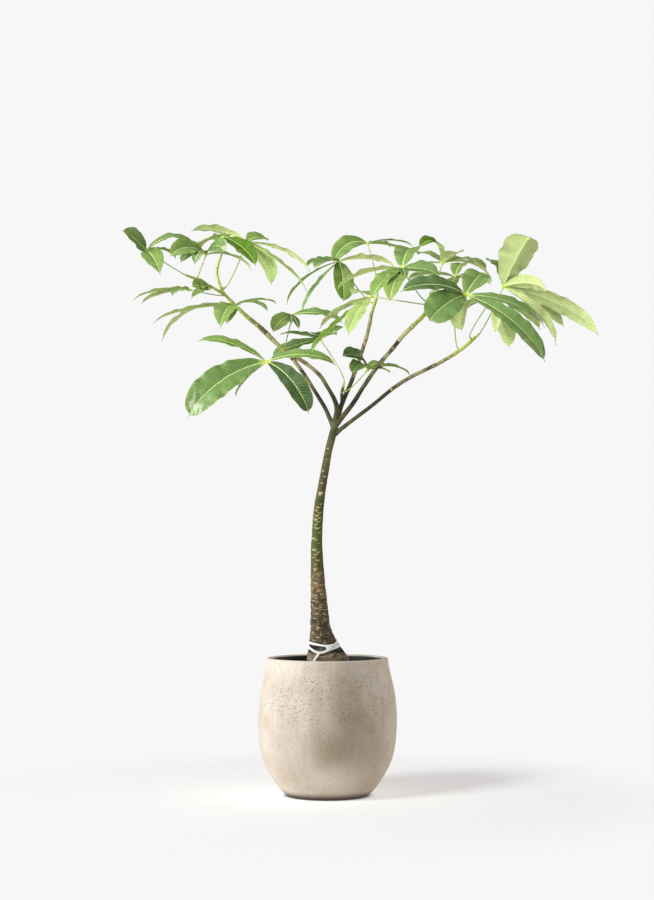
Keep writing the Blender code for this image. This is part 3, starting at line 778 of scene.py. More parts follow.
def roughColour(tree, place, wide, height, streak, dashes):
    # brown bark, darker low on the stem and paler on the roots, with upright streaks and
    # level cracks and dashes
    look, zones = barkColours, barkZones
    colour = mixColours(tree, patches(tree, place, 110, 0.38, 0.62), *look["brown"])
    colour = tint(tree, colour, easeNode(tree, height, *zones["low"], 0.85, 0.0), look["low"])
    colour = tint(tree, colour, easeNode(tree, height, *zones["root"], 0.9, 0.0), look["root"])
    colour = tint(tree, colour, streak, look["streak"], 0.35)
    colour = tint(tree, colour, patches(tree, wide, 150, 0.48, 0.60, 3.0), look["crack"], 0.75)
    return tint(tree, colour, dashes, look["dash"], 0.65)


def twigColour(tree, place, height, mottle):
    # mottled twigs, nearly black by the fork and with paler blotches further out
    look, zones = barkColours, barkZones
    colour = mixColours(tree, mottle, *look["twig"])
    inner = easeNode(tree, height, *zones["innerTwig"], 0.85, 0.0)
    colour = tint(tree, colour, inner, look["innerTwig"])
    outer = calc(tree, "MULTIPLY", easeNode(tree, height, *zones["outerTwig"]),
                 patches(tree, place, 34, 0.40, 0.60, 2.0))
    return tint(tree, colour, outer, look["outerTwig"])


def barkFinish():
    # skin and rough bark by the field rough, then the painted shadow under the cord, the twigs,
    # the young ends and the scars
    made, tree, shader = newMaterial("bark", Roughness=0.75, Specular_IOR_Level=0.22)
    look = barkColours
    place, tall = placeNode(tree), placeNode(tree, (1, 1, 0.25))
    wide = placeNode(tree, (0.35, 0.35, 1))
    height = heightNode(tree, place)
    rough = fieldNode(tree, "rough")
    mottle = patches(tree, place, 60)
    streak = patches(tree, tall, 260, 0.35, 0.7, 3.0)
    dashes = patches(tree, wide, 230, 0.56, 0.63, 2.0)
    patchy = calc(tree, "ADD", rough, calc(tree, "MULTIPLY", mottle, -0.25), clamp=True)
    colour = tint(tree, skinColour(tree, height, mottle), easeNode(tree, patchy, 0.05, 0.55),
                  roughColour(tree, place, wide, height, streak, dashes))
    # painted shadow under the cord: near black in patches
    paintedCordShadow = calc(tree, "MULTIPLY", bandNode(tree, height, *barkZones["paintedCordShadow"]),
                  patches(tree, place, 55, 0.28, 0.50))
    colour = tint(tree, colour, paintedCordShadow, look["paintedCordShadow"])
    colour = tint(tree, colour, easeNode(tree, height, *barkZones["twig"]),
                  twigColour(tree, place, height, mottle))
    colour = tint(tree, colour, fieldNode(tree, "young"),
                  mixColours(tree, streak, *look["fresh"]))
    scar = calc(tree, "MULTIPLY", fieldNode(tree, "scar"),
                easeNode(tree, rough, 0.2, 1.0, 0.9, 0.45))
    colour = tint(tree, colour, scar,
                  mixColours(tree, patches(tree, place, 300), *look["scar"]))
    relief = calc(tree, "ADD", streak, calc(tree, "MULTIPLY", dashes, 0.8))
    dress(tree, shader, colour, relief, 0.45, 0.0008)
    return made


def makeTrunk():
    parts = [stemPart()]
    for seed, name in enumerate(branches):
        parts.append(branchPart(name, 31 + seed))
    return makePiece("trunk_and_branches", parts, [barkFinish()], "trunk")


makeTrunk()
print("trunk made")


# Soil: one body that fills the pot, with a well that the trunk stands in

soil = {
    "top": 260,
    "mound": 4,
    "moundSpan": (40, 110),
    "wellFloor": 200,
    "gap": 0.6,
    "wallGap": 0.4,
    "edgeDrop": 4,  # from the top's edge to the next ring down the wall
    "sides": 220,
    "wellRows": 16,
    "topRows": 60,
    "wallRows": 24,
    "clumps": 3.2,
    # size, cells before it repeats and seed
    "largeClumps": (9, 64, 41),
    "smallClumps": (3.5, 128, 42),
    "clumpSpans": ((0, 0.06), (1, 0.97)),  # shares of the way from the trunk to the wall
}
chips = {
    "count": 90,
    "seed": 8,
    "sides": 7,
    "rows": 4,
    "lift": 1.2,
    "uneven": 0.25,
    "narrow": 0.6,
    "flat": 0.45,
    "size": (2, 5),
    "area": (0.22, 0.9),  # shares of the soil's area that they lie between
    "above": 0.5,
}


def clumpNoise(top, size, cells, seed):
    return softNoise(top[..., 0] / size, top[..., 1] / size, cells, seed)


def soilPart():
    # rings from the well's floor up along the trunk, out to the wall, and down to the pot's floor
    turn = np.linspace(0, fullTurn, soil["sides"], endpoint=False)[None, :]
    well = np.linspace(soil["wellFloor"], soil["top"] + soil["mound"], soil["wellRows"])[:, None]
    up = stemPoints(well, turn, soil["gap"])
    wallRadius = potInnerRadius(soil["top"]) - soil["wallGap"]
    wall = np.stack([wallRadius * np.cos(turn), wallRadius * np.sin(turn),
                     np.full(turn.shape, soil["top"])], axis=-1)
    share = np.linspace(0, 1, soil["topRows"])[1:, None, None]
    top = up[-1:] * (1 - share) + wall * share
    reach = np.hypot(top[..., 0], top[..., 1])
    clump = clumpNoise(top, *soil["largeClumps"]) + 0.5 * clumpNoise(top, *soil["smallClumps"])
    mound = soil["mound"] * (1 - ease(*soil["moundSpan"], reach))
    fade = calmEnds(soil["clumpSpans"], share[..., 0])
    top[..., 2] = soil["top"] + mound + soil["clumps"] * (clump - 0.6) * fade
    rise, inset = pot["cove"]
    heights = np.linspace(soil["top"] - soil["edgeDrop"], pot["floor"] + rise + soil["wallGap"],
                          soil["wallRows"])
    down = turnedRings(np.stack([potInnerRadius(heights) - soil["wallGap"], heights], axis=-1),
                       soil["sides"])
    floorRadius = potInnerRadius(pot["floor"] + rise) - inset
    under = [(r, pot["floor"] + soil["wallGap"])
             for r in (floorRadius, floorRadius / 2, pot["middleRing"])]
    under = turnedRings(np.array(under), soil["sides"])
    return closedPart(np.concatenate([up, top, down, under]), chip=0.0)


def chipPart(place, size, rng):
    # a small flattened lump: a ball of few faces whose radius wanders
    turn = np.linspace(0, fullTurn, chips["sides"], endpoint=False)[None, :]
    lift = np.linspace(-chips["lift"], chips["lift"], chips["rows"])[:, None]
    wander = rng.uniform(-chips["uneven"], chips["uneven"], (chips["rows"], chips["sides"]))
    radius = size * (1 + wander)
    spin = rng.uniform(0, fullTurn)
    x = radius * np.cos(lift) * np.cos(turn)
    y = chips["narrow"] * radius * np.cos(lift) * np.sin(turn)
    z = chips["flat"] * radius * np.sin(lift) + np.zeros_like(turn)
    rings = np.stack([x * math.cos(spin) - y * math.sin(spin),
                      x * math.sin(spin) + y * math.cos(spin), z], axis=-1)
    return closedPart(rings + place, chip=rng.uniform(0.3, 1))


soilColours = {
    "crumbs": ((0.014, 0.011, 0.009), (0.055, 0.038, 0.026)),
    "chip": (0.13, 0.085, 0.055),
    "grit": (0.50, 0.48, 0.44),
}


def soilFinish():
    made, tree, shader = newMaterial("soil", Roughness=0.95)
    place = placeNode(tree)
    crumbs = patches(tree, place, 300, detail=6.0)
    colour = mixColours(tree, crumbs, *soilColours["crumbs"])
    colour = tint(tree, colour, fieldNode(tree, "chip"), soilColours["chip"])
    colour = tint(tree, colour, dots(tree, place, 260, 0.25, 0.03), soilColours["grit"])
    dress(tree, shader, colour, crumbs, 0.8, 0.003)
    return made


def makeSoil():
    rng = np.random.default_rng(chips["seed"])
    parts = [soilPart()]
    for _ in range(chips["count"]):
        reach = math.sqrt(rng.uniform(*chips["area"])) * potInnerRadius(soil["top"])
        turn = rng.uniform(0, fullTurn)
        place = np.array((reach * math.cos(turn), reach * math.sin(turn),
                          soil["top"] + chips["above"]))
        parts.append(chipPart(place, rng.uniform(*chips["size"]), rng))
    return makePiece("soil_body", parts, [soilFinish()], "soil")


makeSoil()
print("soil made")


# Tie: a flat white cord wound twice round the foot, with a knot and a tail

tie = {
    "width": 4.6,
    "thick": 1.6,
    "gap": 0.9,
    "turnSteps": 260,
    "loopSteps": 900,
    "section": 14,
    "blunt": 0.55,
    # turn in degrees and height of points on each run
    "upper": ((-180, 318), (-120, 314), (-80, 311), (-40, 314), (0, 321), (90, 322)),
    "lower": ((-180, 315), (-145, 306), (-112, 297), (-75, 303), (-40, 309), (0, 313), (90, 317)),
    "tail": ((-112, 297), (-122, 288), (-132, 277), (-134, 269)),
    "knot": ((-84, 305.5), (-62, 308.5)),
    "knotSize": (8.5, 2.8),
    # how much its width and its distance from the stem wander, and over how many steps
    "wander": (0.06, 9),
    "crease": (0.036, 5),
    "cells": 64,
    "seeds": {"upper": 50, "lower": 51, "tail": 53, "knot": 54},
}


def loopCurve(points, steps):
    # a smooth closed run: the points are repeated on both sides, then one turn is cut out
    points = np.asarray(points, float)
    thrice = np.vstack([points + (360 * k, 0) for k in (-1, 0, 1)])
    curve = smoothCurve(thrice, tie["loopSteps"])
    turns = np.linspace(-180, 180, steps, endpoint=False)
    return turns, np.interp(turns, curve[:, 0], curve[:, 1])


def bandPart(degrees, heights, closed, size, seed):
    # a flat cord on the stem: at each step a blunt oval, its width along the surface and its
    # thickness away from it
    turns = np.radians(degrees)
    width, thick = size
    radius = stemRadius(heights, turns)
    over, up = radius * np.gradient(turns), np.gradient(heights)
    if closed:
        up = (np.roll(heights, -1) - np.roll(heights, 1)) / 2
    length = np.hypot(over, up)
    angle = np.linspace(0, fullTurn, tie["section"], endpoint=False)[None, :]
    wide = np.sign(np.cos(angle)) * np.abs(np.cos(angle)) ** tie["blunt"]
    deep = np.sign(np.sin(angle)) * np.abs(np.sin(angle)) ** tie["blunt"]
    step = np.arange(len(turns))[:, None]
    (wander, wanderSteps), (crease, creaseSteps) = tie["wander"], tie["crease"]
    wave = 1 + wander * softNoise(step / wanderSteps, np.zeros((1, 1)), tie["cells"], seed)
    edge = np.linspace(-1, 1, len(turns))[:, None]
    ends = 1.0 if closed else np.sqrt(np.clip(1 - edge**8, 0.02, 1))
    aside = wide * width / 2 * wave * ends
    out = tie["gap"] + thick / 2 + deep * thick / 2 * ends
    out = out * (1 + crease * softNoise(step / creaseSteps, wide, tie["cells"], seed + 1))
    height = heights[:, None] + aside * (over / length)[:, None]
    turn = turns[:, None] - aside * (up / length)[:, None] / radius[:, None]
    rings = stemPoints(height, turn, out)
    return closedPart(rings, loop=closed, across=aside, along=np.cumsum(length)[:, None])


cordColours = {
    "clean": (0.88, 0.88, 0.86),
    "grimy": (0.74, 0.73, 0.70),
    # painted shade in the weave's hollows
    "between": (0.55, 0.54, 0.51),
}
weavePitch = 6.0  # radians for each millimetre


def cordFinish():
    # a weave of two sine waves that cross aslant, painted shade in its hollows, and a little grime
    made, tree, shader = newMaterial("whiteCord", Roughness=0.8)
    across, along = fieldNode(tree, "across"), fieldNode(tree, "along")
    first, second = (calc(tree, "SINE", calc(tree, "MULTIPLY", slanted, weavePitch))
                     for slanted in (calc(tree, "ADD", along, across),
                                     calc(tree, "SUBTRACT", along, across)))
    weave = calc(tree, "MULTIPLY", first, second)
    grime = patches(tree, placeNode(tree), 150, 0.4, 0.75)
    colour = mixColours(tree, grime, cordColours["clean"], cordColours["grimy"])
    # painted shade where the weave sinks between its threads
    between = easeNode(tree, weave, -0.9, 0.2, 0.35, 0.0)
    colour = tint(tree, colour, between, cordColours["between"])
    dress(tree, shader, colour, weave, 0.4, 0.0005)
    return made


def makeTie():
    size = (tie["width"], tie["thick"])
    parts = []
    for run in ("upper", "lower"):
        turns, heights = loopCurve(tie[run], tie["turnSteps"])
        parts.append(bandPart(turns, heights, True, size, tie["seeds"][run]))
    for run, ownSize, steps in (("tail", size, 40), ("knot", tie["knotSize"], 30)):
        turns, heights = smoothCurve(tie[run], steps).T
        parts.append(bandPart(turns, heights, False, ownSize, tie["seeds"][run]))
    return makePiece("tie_band", parts, [cordFinish()], "tie_cord")


makeTie()
print("tie made")


# Leaves: a stalk, a knob where the leaflets meet, and the leaflets, in one piece for each leaf

stalk = {
    "radius": 1.2,
    "footRadius": 2.4,
    "hubRadius": 2.1,
    "gap": 0.4,
    "foot": 4,
    "bend": 0.12,  # how far its ends run straight, as a share of the way to the hub
    "rows": 40,
    "sides": 12,
    "sunk": 1.6,  # how far its foot runs into the branch
    "young": 0.5,
    # lengths from its foot and from the hub over which it thins, and over which it greens
    "footSpan": (2, 11),
    "hubSpan": (2, 13),
    "freshSpan": (6, 40),
}
knob = {"radius": 4.2, "flat": 0.75, "rows": 10, "sides": 16, "lift": 1.45}
blade = {
    "columns": 15,
    "crowding": 1.45,  # the columns crowd at the midrib by this power
    "rowLength": 1.7,  # along the leaflet
    "veinSpacing": 6.8,
    "veinSlope": 0.62,  # how far a side vein runs towards the tip for each step sideways
    "footPower": 0.80,  # the width grows with this power of the way from the hub
    "tipPower": 0.55,  # and falls with this power of the way that is left to the tip
    "footHalf": 1.3,
    "footSpan": (0.1, 0.3),
    "tipShare": 0.965,  # the rest is the drawn-out tip
    "tipHalf": 1.1,
    "tipSpan": (0.85, 0.95),
    "tipEnd": (1, 0.955),
    "tipLeast": 0.12,
    "foldSlope": 0.40,
    "foldDroop": 0.13,
    "thick": 0.55,
    "rimThick": 0.16,
    "quilt": 0.65,
    "quiltSpans": ((0.02, 0.15), (1, 0.85)),  # shares of the half width
    "quiltHalf": 16,  # half width from which the quilting is full
    "ribRise": 0.25,
    "ribDrop": 1.0,
    "ribHalf": 1.2,
    "ribFade": 0.7,  # how much lower the rib is at the tip
    "wave": 0.085,  # height of the edge's waves, as a share of the half width
    "waveLength": 40,
    "ripple": (0.6, 1.7),  # height and beat of a second wave, as shares of the first's
    "twist": 7,  # degrees, either way
    "short": 2.0,  # how far the tip stops short of the solids' tip
    "sickle": 0.02,  # sideways bow, either way, as a share of the length
    "curl": 0.035,  # how far the tip hangs, as a share of the length
    "curlFrom": 0.8,
    "seed": 60,
}

# Each leaf: the branch and the share of it where the stalk stands, the hub, the way the upper
# side faces, and for each leaflet how far its tip reaches from the hub, its width, its upward
# bow as a share of its length, its turn in degrees and its tone, partly its own colour and partly
# painted light and shade: -1 deep, 0 dark, 0.7 middle, 1 vivid and 2 pale; a last number takes
# the place of tipPower
leaves = {
    "leaf_01": ("side_twig", 1.0, (-385, 0, 1145), (0, -0.3, 1), (
        ((-45, -60, 35), 46, 0.03, 62, 0.3, 0.8),
        ((110, 50, 15), 28, 0.22, -15, 0.2),
        ((55, 110, 5), 26, 0.08, 0, 0),
        ((40, -95, -65), 44, 0.08, -15, 0.4, 0.9),
        ((15, 130, 10), 26, 0.05, 0, 0.2),
    )),
    "leaf_02": ("side_twig", 0.7, (-255, -40, 1130), (0, -0.3, 1), (
        ((-70, -85, -15), 42, 0.14, 42, 0.5),
        ((-50, -60, -25), 26, 0.16, 20, 0.1),
        ((-20, -70, -30), 26, 0.2, 10, 0.1),
        ((45, -50, 0), 38, 0.2, -40, 0.1),
        ((95, 60, -20), 28, 0.12, 0, 0.8),
    )),
    "leaf_03": ("up_twig", 1.0, (-220, -20, 1170), (0, -0.3, 1), (
        ((-70, 20, -20), 28, 0.06, 0, 0.5),
        ((-60, 70, -15), 24, 0.1, 0, 0.5),
        ((75, -100, -75), 48, 0.06, -5, 1, 0.75),
        ((0, 60, 5), 26, 0.1, 0, 0.5),
        ((-20, 100, 5), 26, 0.1, 0, 0.5),
    )),
    "leaf_04": ("up_twig", 0.12, (-175, 70, 1175), (0, 0.1, 1), (
        ((-120, -20, 25), 38, 0.075, -8, 0.9),
        ((45, 50, 15), 40, 0.12, -35, 0.8),
        ((140, 30, -55), 26, 0.1, 0, 1),
        ((55, 50, -85), 46, 0.16, 0, 0.3),
        ((135, -10, -105), 28, 0.05, 0, 0.3),
    )),
    "leaf_05": ("far_left", 0.97, (-285, -110, 1045), (0, 0, 1), (
        ((-115, -20, -20), 26, 0.06, 0, 0.5),
        ((-105, 40, -20), 26, 0.06, 0, 0.5),
        ((-30, -70, -20), 24, 0.08, 0, 0.2),
        ((-45, 110, 10), 22, 0.06, 0, 0.3),
    )),
    "leaf_06": ("side_twig", 0.3, (-250, -10, 1062), (0, -0.5, 1), (
        ((-35, -40, 0), 32, 0.08, 45, 0.5),
        ((-40, 0, -20), 22, 0.1, 10, 0.5),
        ((-10, -50, -5), 20, 0.1, 0, 0.2),
    )),
    "leaf_07": ("near_left", 1.0, (-190, -95, 1015), (0, -0.2, 1), (
        ((-170, -30, -35), 36, 0.05, 0, 0.6),
        ((-160, 40, -65), 28, 0.16, -10, 0.7),
        ((-25, -120, -60), 50, 0.1, 0, 0.5, 0.85),
        ((-15, -60, -45), 34, 0.1, 0, 0.2),
        ((70, -40, -15), 26, 0.14, 0, 0.3),
        ((85, 60, 15), 22, 0.08, 0, 0.4),
    )),
    "leaf_08": ("near_left", 0.94, (-125, -120, 895), (0, -0.6, 1), (
        ((-160, -50, -115), 66, 0.12, 34, 0.1, 0.42),
        ((-145, 20, 50), 32, 0.1, 0, 0.4),
        ((90, -60, -110), 46, 0.15, -15, -0.8, 0.42),
        ((145, 30, 0), 30, 0.13, -14, 0.35),
        ((-70, 60, -65), 30, 0.05, 0, -0.5),
    )),
    "leaf_09": ("near_left", 0.97, (-75, 20, 1010), (0, -0.2, 1), (
        ((-40, -80, -45), 36, 0.08, 25, 0.6),
        ((-45, 70, 0), 16, 0.06, 0, 0),
        ((110, 0, -15), 34, 0.1, -22, 0.2),
        ((0, -90, -30), 14, 0.06, 0, -0.5),
        ((15, -50, -35), 14, 0.06, 0, -0.5),
    )),
    "leaf_10": ("inner_twig", 1.0, (-15, 40, 960), (0, -0.4, 1), (
        ((-90, 50, 20), 26, 0.05, 0, -0.6),
        ((-105, -40, -40), 34, 0.04, 15, -0.1),
        ((50, 40, 35), 30, 0.05, 0, 0.4),
        ((-15, 90, 25), 22, 0.05, 0, 0),
        ((35, -60, 5), 26, 0.05, 0, 0.3),
    )),
    "leaf_11": ("inner_twig", 0.7, (85, -10, 890), (0, -0.5, 1), (
        ((-55, -60, 25), 42, 0.17, 25, -0.7),
        ((-35, -80, -15), 38, 0.16, 10, -0.3),
        ((95, 80, 0), 26, 0.1, 0, 0.2),
        ((50, 50, 0), 22, 0.08, 0, 0.4),
        ((35, 90, 25), 26, 0.05, 0, 0.6),
    )),
    "leaf_12": ("middle", 0.95, (25, 110, 1140), (0, -0.2, 1), (
        ((-55, -80, -25), 38, 0.08, 5, -0.1),
        ((-120, 50, -85), 24, 0.1, 0, 0),
        ((-85, -10, -115), 24, 0.06, 0, 0.1),
        ((10, -90, -100), 46, 0.08, 10, 0.9, 0.42),
        ((125, -30, -15), 42, 0.08, 18, 0.8),
        ((-75, 90, 5), 26, 0.1, 0, 0.3),
    )),
    "leaf_13": ("middle", 1.0, (90, 200, 1195), (0, -0.2, 1), (
        ((-80, -50, -50), 40, 0.2, 45, 0.4),
        ((55, 60, 5), 26, 0.06, 0, 0.1),
        ((80, -30, -20), 30, 0.06, 0, 0.3),
        ((-50, 60, -15), 22, 0.2, 0, 0.1),
        ((105, 20, 0), 20, 0.09, 0, 0.1),
    )),
    "leaf_14": ("high_right", 0.93, (90, -50, 1040), (0, 0.1, 1), (
        ((-110, 40, -60), 30, 0.06, 0, 1.4),
        ((-130, -105, -130), 32, 0.02, 0, 1.2),
        ((-40, 60, 15), 38, 0.08, 0, 2),
        ((-50, -95, -90), 38, 0.06, 10, 1.8),
    )),
    "leaf_15": ("high_right", 0.96, (155, -70, 1095), (0, -0.2, 1), (
        ((25, 90, 60), 54, 0.1, 0, 0.3, 0.45),
        ((-140, 10, -40), 40, 0.09, -14, 0.75),
        ((-65, -80, -70), 44, 0.1, 0, 1.4),
        ((-30, -100, -80), 42, 0.1, 0, 0.7),
        ((75, -30, -15), 48, 0.06, -25, -0.1),
        ((5, -70, -30), 20, 0.1, 0, -0.3),
    )),
    "leaf_16": ("high_right", 0.98, (245, 10, 1120), (0, -0.2, 1), (
        ((-55, -65, 25), 36, 0.34, 25, 1),
        ((-50, 80, 35), 30, 0.08, 0, 0.5),
        ((-75, 50, -10), 30, 0.08, 0, 0.6),
        ((30, -60, 15), 50, 0.04, 0, 2, 0.35),
        ((110, 10, -35), 34, 0.16, 0, 0.5),
        ((105, 100, 5), 32, 0.1, 0, 0.5),
    )),
    "leaf_17": ("high_right", 1.0, (280, -170, 1025), (0, -0.8, 1), (
        ((-135, -40, 5), 46, 0.14, 10, -0.6),
        ((-80, -60, -60), 66, 0.1, 28, -0.1, 0.35),
        ((40, 60, 55), 56, 0.08, -5, 0.3, 0.4),
        ((165, 10, -60), 34, 0.12, 0, 0.2),
        ((155, -70, -140), 44, 0.11, -6, 0.1, 0.5),
        ((-5, 60, -65), 44, 0.1, 0, 0.6),
    )),
    "leaf_18": ("low_right", 1.0, (375, 20, 1070), (0, 0.5, 1), (
        ((55, -40, 105), 84, 0.06, 0, 1, 0.34),
        ((-30, 50, 70), 54, 0.12, 25, 0.6, 0.4),
        ((85, -90, -20), 40, 0.1, 25, 0.9),
        ((205, -10, -100), 40, 0.1, 22, 1),
        ((140, 60, -75), 36, 0.08, 0, 0.5),
        ((110, -50, -130), 36, 0.12, 0, 1),
    )),
    "leaf_19": ("low_right", 0.96, (345, -60, 1035), (0, 0.2, 1), (
        ((40, 40, -100), 44, 0.06, 0, 0.5),
        ((110, 70, -55), 36, 0.1, 0, 0.4),
        ((-60, 50, -20), 30, 0.1, 0, 0.4),
        ((5, -10, -75), 26, 0.05, 0, 0.9),
        ((25, 30, -60), 24, 0.05, 0, 0.9),
    )),
    "leaf_20": ("low_right", 0.85, (285, 170, 1115), (0, 0.2, 1), (
        ((-110, -40, -10), 46, 0.08, 25, 0.4),
        ((30, 100, 45), 38, 0.1, 0, 0.6),
        ((85, 60, -5), 38, 0.1, 0, 0.6),
        ((-15, -60, -40), 28, 0.1, 0, 0.6),
        ((35, -70, -40), 28, 0.1, 0, 0.6),
    )),
}


def branchCurve(name):
    # the coarse curve that the solids' branch is built on
    route = np.asarray(branches[name][0], float)
    return smoothCurve(route, max(4, round(runAlong(route[:, :3])[-1] / branch["solidStep"]) + 1))


def stalkRoute(name, share, hub):
    # squarely off the branch, then one cubic curve that enters the hub straight
    curve = branchCurve(name)
    place = share * (len(curve) - 1)
    low = min(int(place), len(curve) - 2)
    here = curve[low] + (curve[low + 1] - curve[low]) * (place - low)
    along = unit(curve[low + 1, :3] - curve[low, :3])
    away = hub - here[:3]
    leave = along if share == 1 else unit(away - np.dot(away, along) * along)
    clear = here[3] * (branch["tip"] if share == 1 else 1) + stalk["gap"]
    foot = here[:3] + leave * (clear + stalk["foot"])
    reach = np.linalg.norm(hub - foot)
    first = foot + leave * stalk["bend"] * reach
    second = hub - unit(hub - first) * stalk["bend"] * reach
    t = np.linspace(0, 1, stalk["rows"])[:, None]
    curve = ((1 - t) ** 3 * foot + 3 * (1 - t) ** 2 * t * first
             + 3 * (1 - t) * t**2 * second + t**3 * hub)
    start = here[:3] + leave * (clear - stalk["sunk"])
    return np.vstack([start, (start + foot) / 2, curve])


def stalkPart(name, share, hub):
    # a thin round stalk, swollen at its foot and again under the leaflets
    path = stalkRoute(name, share, hub)
    run = runAlong(path)
    left = run[-1] - run
    thin = stalk["radius"]
    radii = (thin + (stalk["footRadius"] - thin) * (1 - ease(*stalk["footSpan"], run))
             + (stalk["hubRadius"] - thin) * (1 - ease(*stalk["hubSpan"], left)))
    young = np.maximum(stalk["young"], 1 - ease(*stalk["freshSpan"], left))[:, None]
    return sweptTube(path, radii, stalk["sides"], finish=1, young=young)


def knobPart(hub, up):
    # a flattened ball square to the way that the leaf faces
    lift = np.linspace(-knob["lift"], knob["lift"], knob["rows"])
    path = hub + np.outer(np.sin(lift) * knob["radius"] * knob["flat"], unit(up))
    return sweptTube(path, np.cos(lift) * knob["radius"], knob["sides"], finish=1, young=1.0)


def bladeHalf(share, width, tipPower):
    # half the width: a power of the way from the hub times a power of the way left to the
    # tip, which is 1 where the blade is fullest; then a drawn-out tip
    main = np.minimum(share / blade["tipShare"], 1)
    footPower = blade["footPower"]
    full = footPower / (footPower + tipPower)
    fullest = full**footPower * (1 - full) ** tipPower
    half = 0.5 * width * main**footPower * (1 - main) ** tipPower / fullest
    foot = blade["footHalf"] * (1 - ease(*blade["footSpan"], share))
    end = blade["tipLeast"] + (1 - blade["tipLeast"]) * ease(*blade["tipEnd"], share)
    tip = blade["tipHalf"] * ease(*blade["tipSpan"], share) * end
    return np.maximum(half, np.maximum(foot, tip))


def bladeSpine(hub, facing, reach, bow, turn, share, rng):
    # the centre line is a straight reach plus a parabola upwards and a slight one sideways,
    # and its end hangs; with it go the two directions square to it, one flat in the blade and
    # one out of its upper side, rolled by the turn and a slight twist
    length = np.linalg.norm(reach)
    up = unit(facing - np.dot(facing, reach) * reach / length**2)
    side = np.cross(reach / length, up)
    sickle = rng.uniform(-1, 1) * blade["sickle"] * length
    arc = 4 * share * (1 - share)
    slopeArc = 4 * (1 - 2 * share)
    last = np.clip((share - blade["curlFrom"]) / (1 - blade["curlFrom"]), 0, 1)
    rise = bow * length * arc - blade["curl"] * length * last**2
    middle = hub + np.outer(share, reach) + np.outer(rise, up) + np.outer(sickle * arc, side)
    slope = reach + np.outer(bow * length * slopeArc, up) + np.outer(sickle * slopeArc, side)
    flat = unit(np.cross(unit(slope), up))
    normal = np.cross(flat, unit(slope))
    roll = np.radians(turn + blade["twist"] * rng.uniform(-1, 1) * (2 * share - 1))[:, None]
    return middle, (flat * np.cos(roll) + normal * np.sin(roll)), (
        normal * np.cos(roll) - flat * np.sin(roll))


def bladeRise(share, along, half, aside, under, rng):
    # each half of the blade rises from the midrib and droops to its edge, with waves at the
    # edge and a quilted relief between the side veins; the skins lie on both sides of that,
    # with the rib standing out of them
    rise = half * (blade["foldSlope"] * np.abs(aside) - blade["foldDroop"] * aside**2)
    phase = np.where(aside < 0, *rng.uniform(0, fullTurn, 2))
    beat = fullTurn * along / blade["waveLength"]
    height, quicker = blade["ripple"]
    wave = np.sin(beat + phase) + height * np.sin(quicker * beat + 2 * phase)
    rise = rise + blade["wave"] * half * wave * aside**2 * np.sin(np.pi * share)
    across = aside * half
    vein = (along - np.abs(across) * blade["veinSlope"]) / blade["veinSpacing"]
    quilt = np.abs(np.sin(np.pi * vein)) * calmEnds(blade["quiltSpans"], np.abs(aside))
    rise = rise + blade["quilt"] * np.minimum(half / blade["quiltHalf"], 1) * quilt
    rib = np.clip(1 - (across / blade["ribHalf"]) ** 2, 0, 1) * (1 - blade["ribFade"] * share)
    skin = blade["rimThick"] + (blade["thick"] - blade["rimThick"]) * (1 - aside**4)
    return rise + np.where(under > 0.5, -skin / 2 - blade["ribDrop"] * rib,
                           skin / 2 + blade["ribRise"] * rib)


def leafletPart(hub, facing, leaflet, rng):
    # at each step along the centre line one ring runs over the upper side, from edge to edge,
    # and back under the lower side
    reach, width, bow, turn, tone, *tipPower = leaflet
    reach = np.asarray(reach, float)
    reach = reach * (1 - blade["short"] / np.linalg.norm(reach))
    length = np.linalg.norm(reach)
    share = np.linspace(0, 1, round(length / blade["rowLength"]))
    middle, flat, normal = bladeSpine(hub, facing, reach, bow, turn, share, rng)
    half = bladeHalf(share, width, *(tipPower or (blade["tipPower"],)))[:, None]
    share = share[:, None]
    column = np.linspace(-1, 1, blade["columns"])
    aside = np.sign(column) * np.abs(column) ** blade["crowding"]
    aside = np.concatenate([aside, aside[::-1]])[None, :]
    under = np.repeat((0.0, 1.0), blade["columns"])[None, :]
    rise = bladeRise(share, share * length, half, aside, under, rng)
    across = aside * half
    rings = middle[:, None] + flat[:, None] * across[..., None] + normal[:, None] * rise[..., None]
    return closedPart(rings, across=across, along=share * length, share=share, under=under,
                      tone=float(tone), edge=np.abs(aside))


bladeColours = {
    "deepest": ((0.022, 0.050, 0.015), (0.040, 0.080, 0.026)),
    # the colours that follow it: the tones between which each one takes over, and the two
    # colours that it is mottled with; the darker and paler tones are partly painted shade and light
    "shadeAndTones": (
        (-1.0, 0.0, (0.095, 0.180, 0.046), (0.135, 0.240, 0.064)),
        (0.0, 0.7, (0.145, 0.235, 0.048), (0.200, 0.300, 0.070)),
        (0.8, 1.0, (0.050, 0.130, 0.000), (0.085, 0.185, 0.001)),
        (1.0, 2.0, (0.270, 0.370, 0.110), (0.350, 0.450, 0.160)),
    ),
    "vein": (0.30, 0.40, 0.14),
    # painted glossy highlight near some tips
    "paintedTipGloss": (0.46, 0.54, 0.42),
    "rib": (0.58, 0.68, 0.26),
    "lowerPale": ((0.60, 0.71, 0.33), (0.52, 0.63, 0.26)),
    # painted shade: a darker copy of the underside for leaflets in shade
    "lowerPaintedShade": ((0.28, 0.40, 0.115), (0.22, 0.33, 0.09)),
    "lowerVein": (0.12, 0.22, 0.045),
    "lowerRib": (0.50, 0.58, 0.25),
    "fine": (0.03, 0.06, 0.02),
    # rim: a lighter margin, painted highlight along the edge
    "rim": (0.38, 0.46, 0.12),
    "foot": (0.48, 0.60, 0.12),
    "burnt": (0.030, 0.022, 0.012),
}


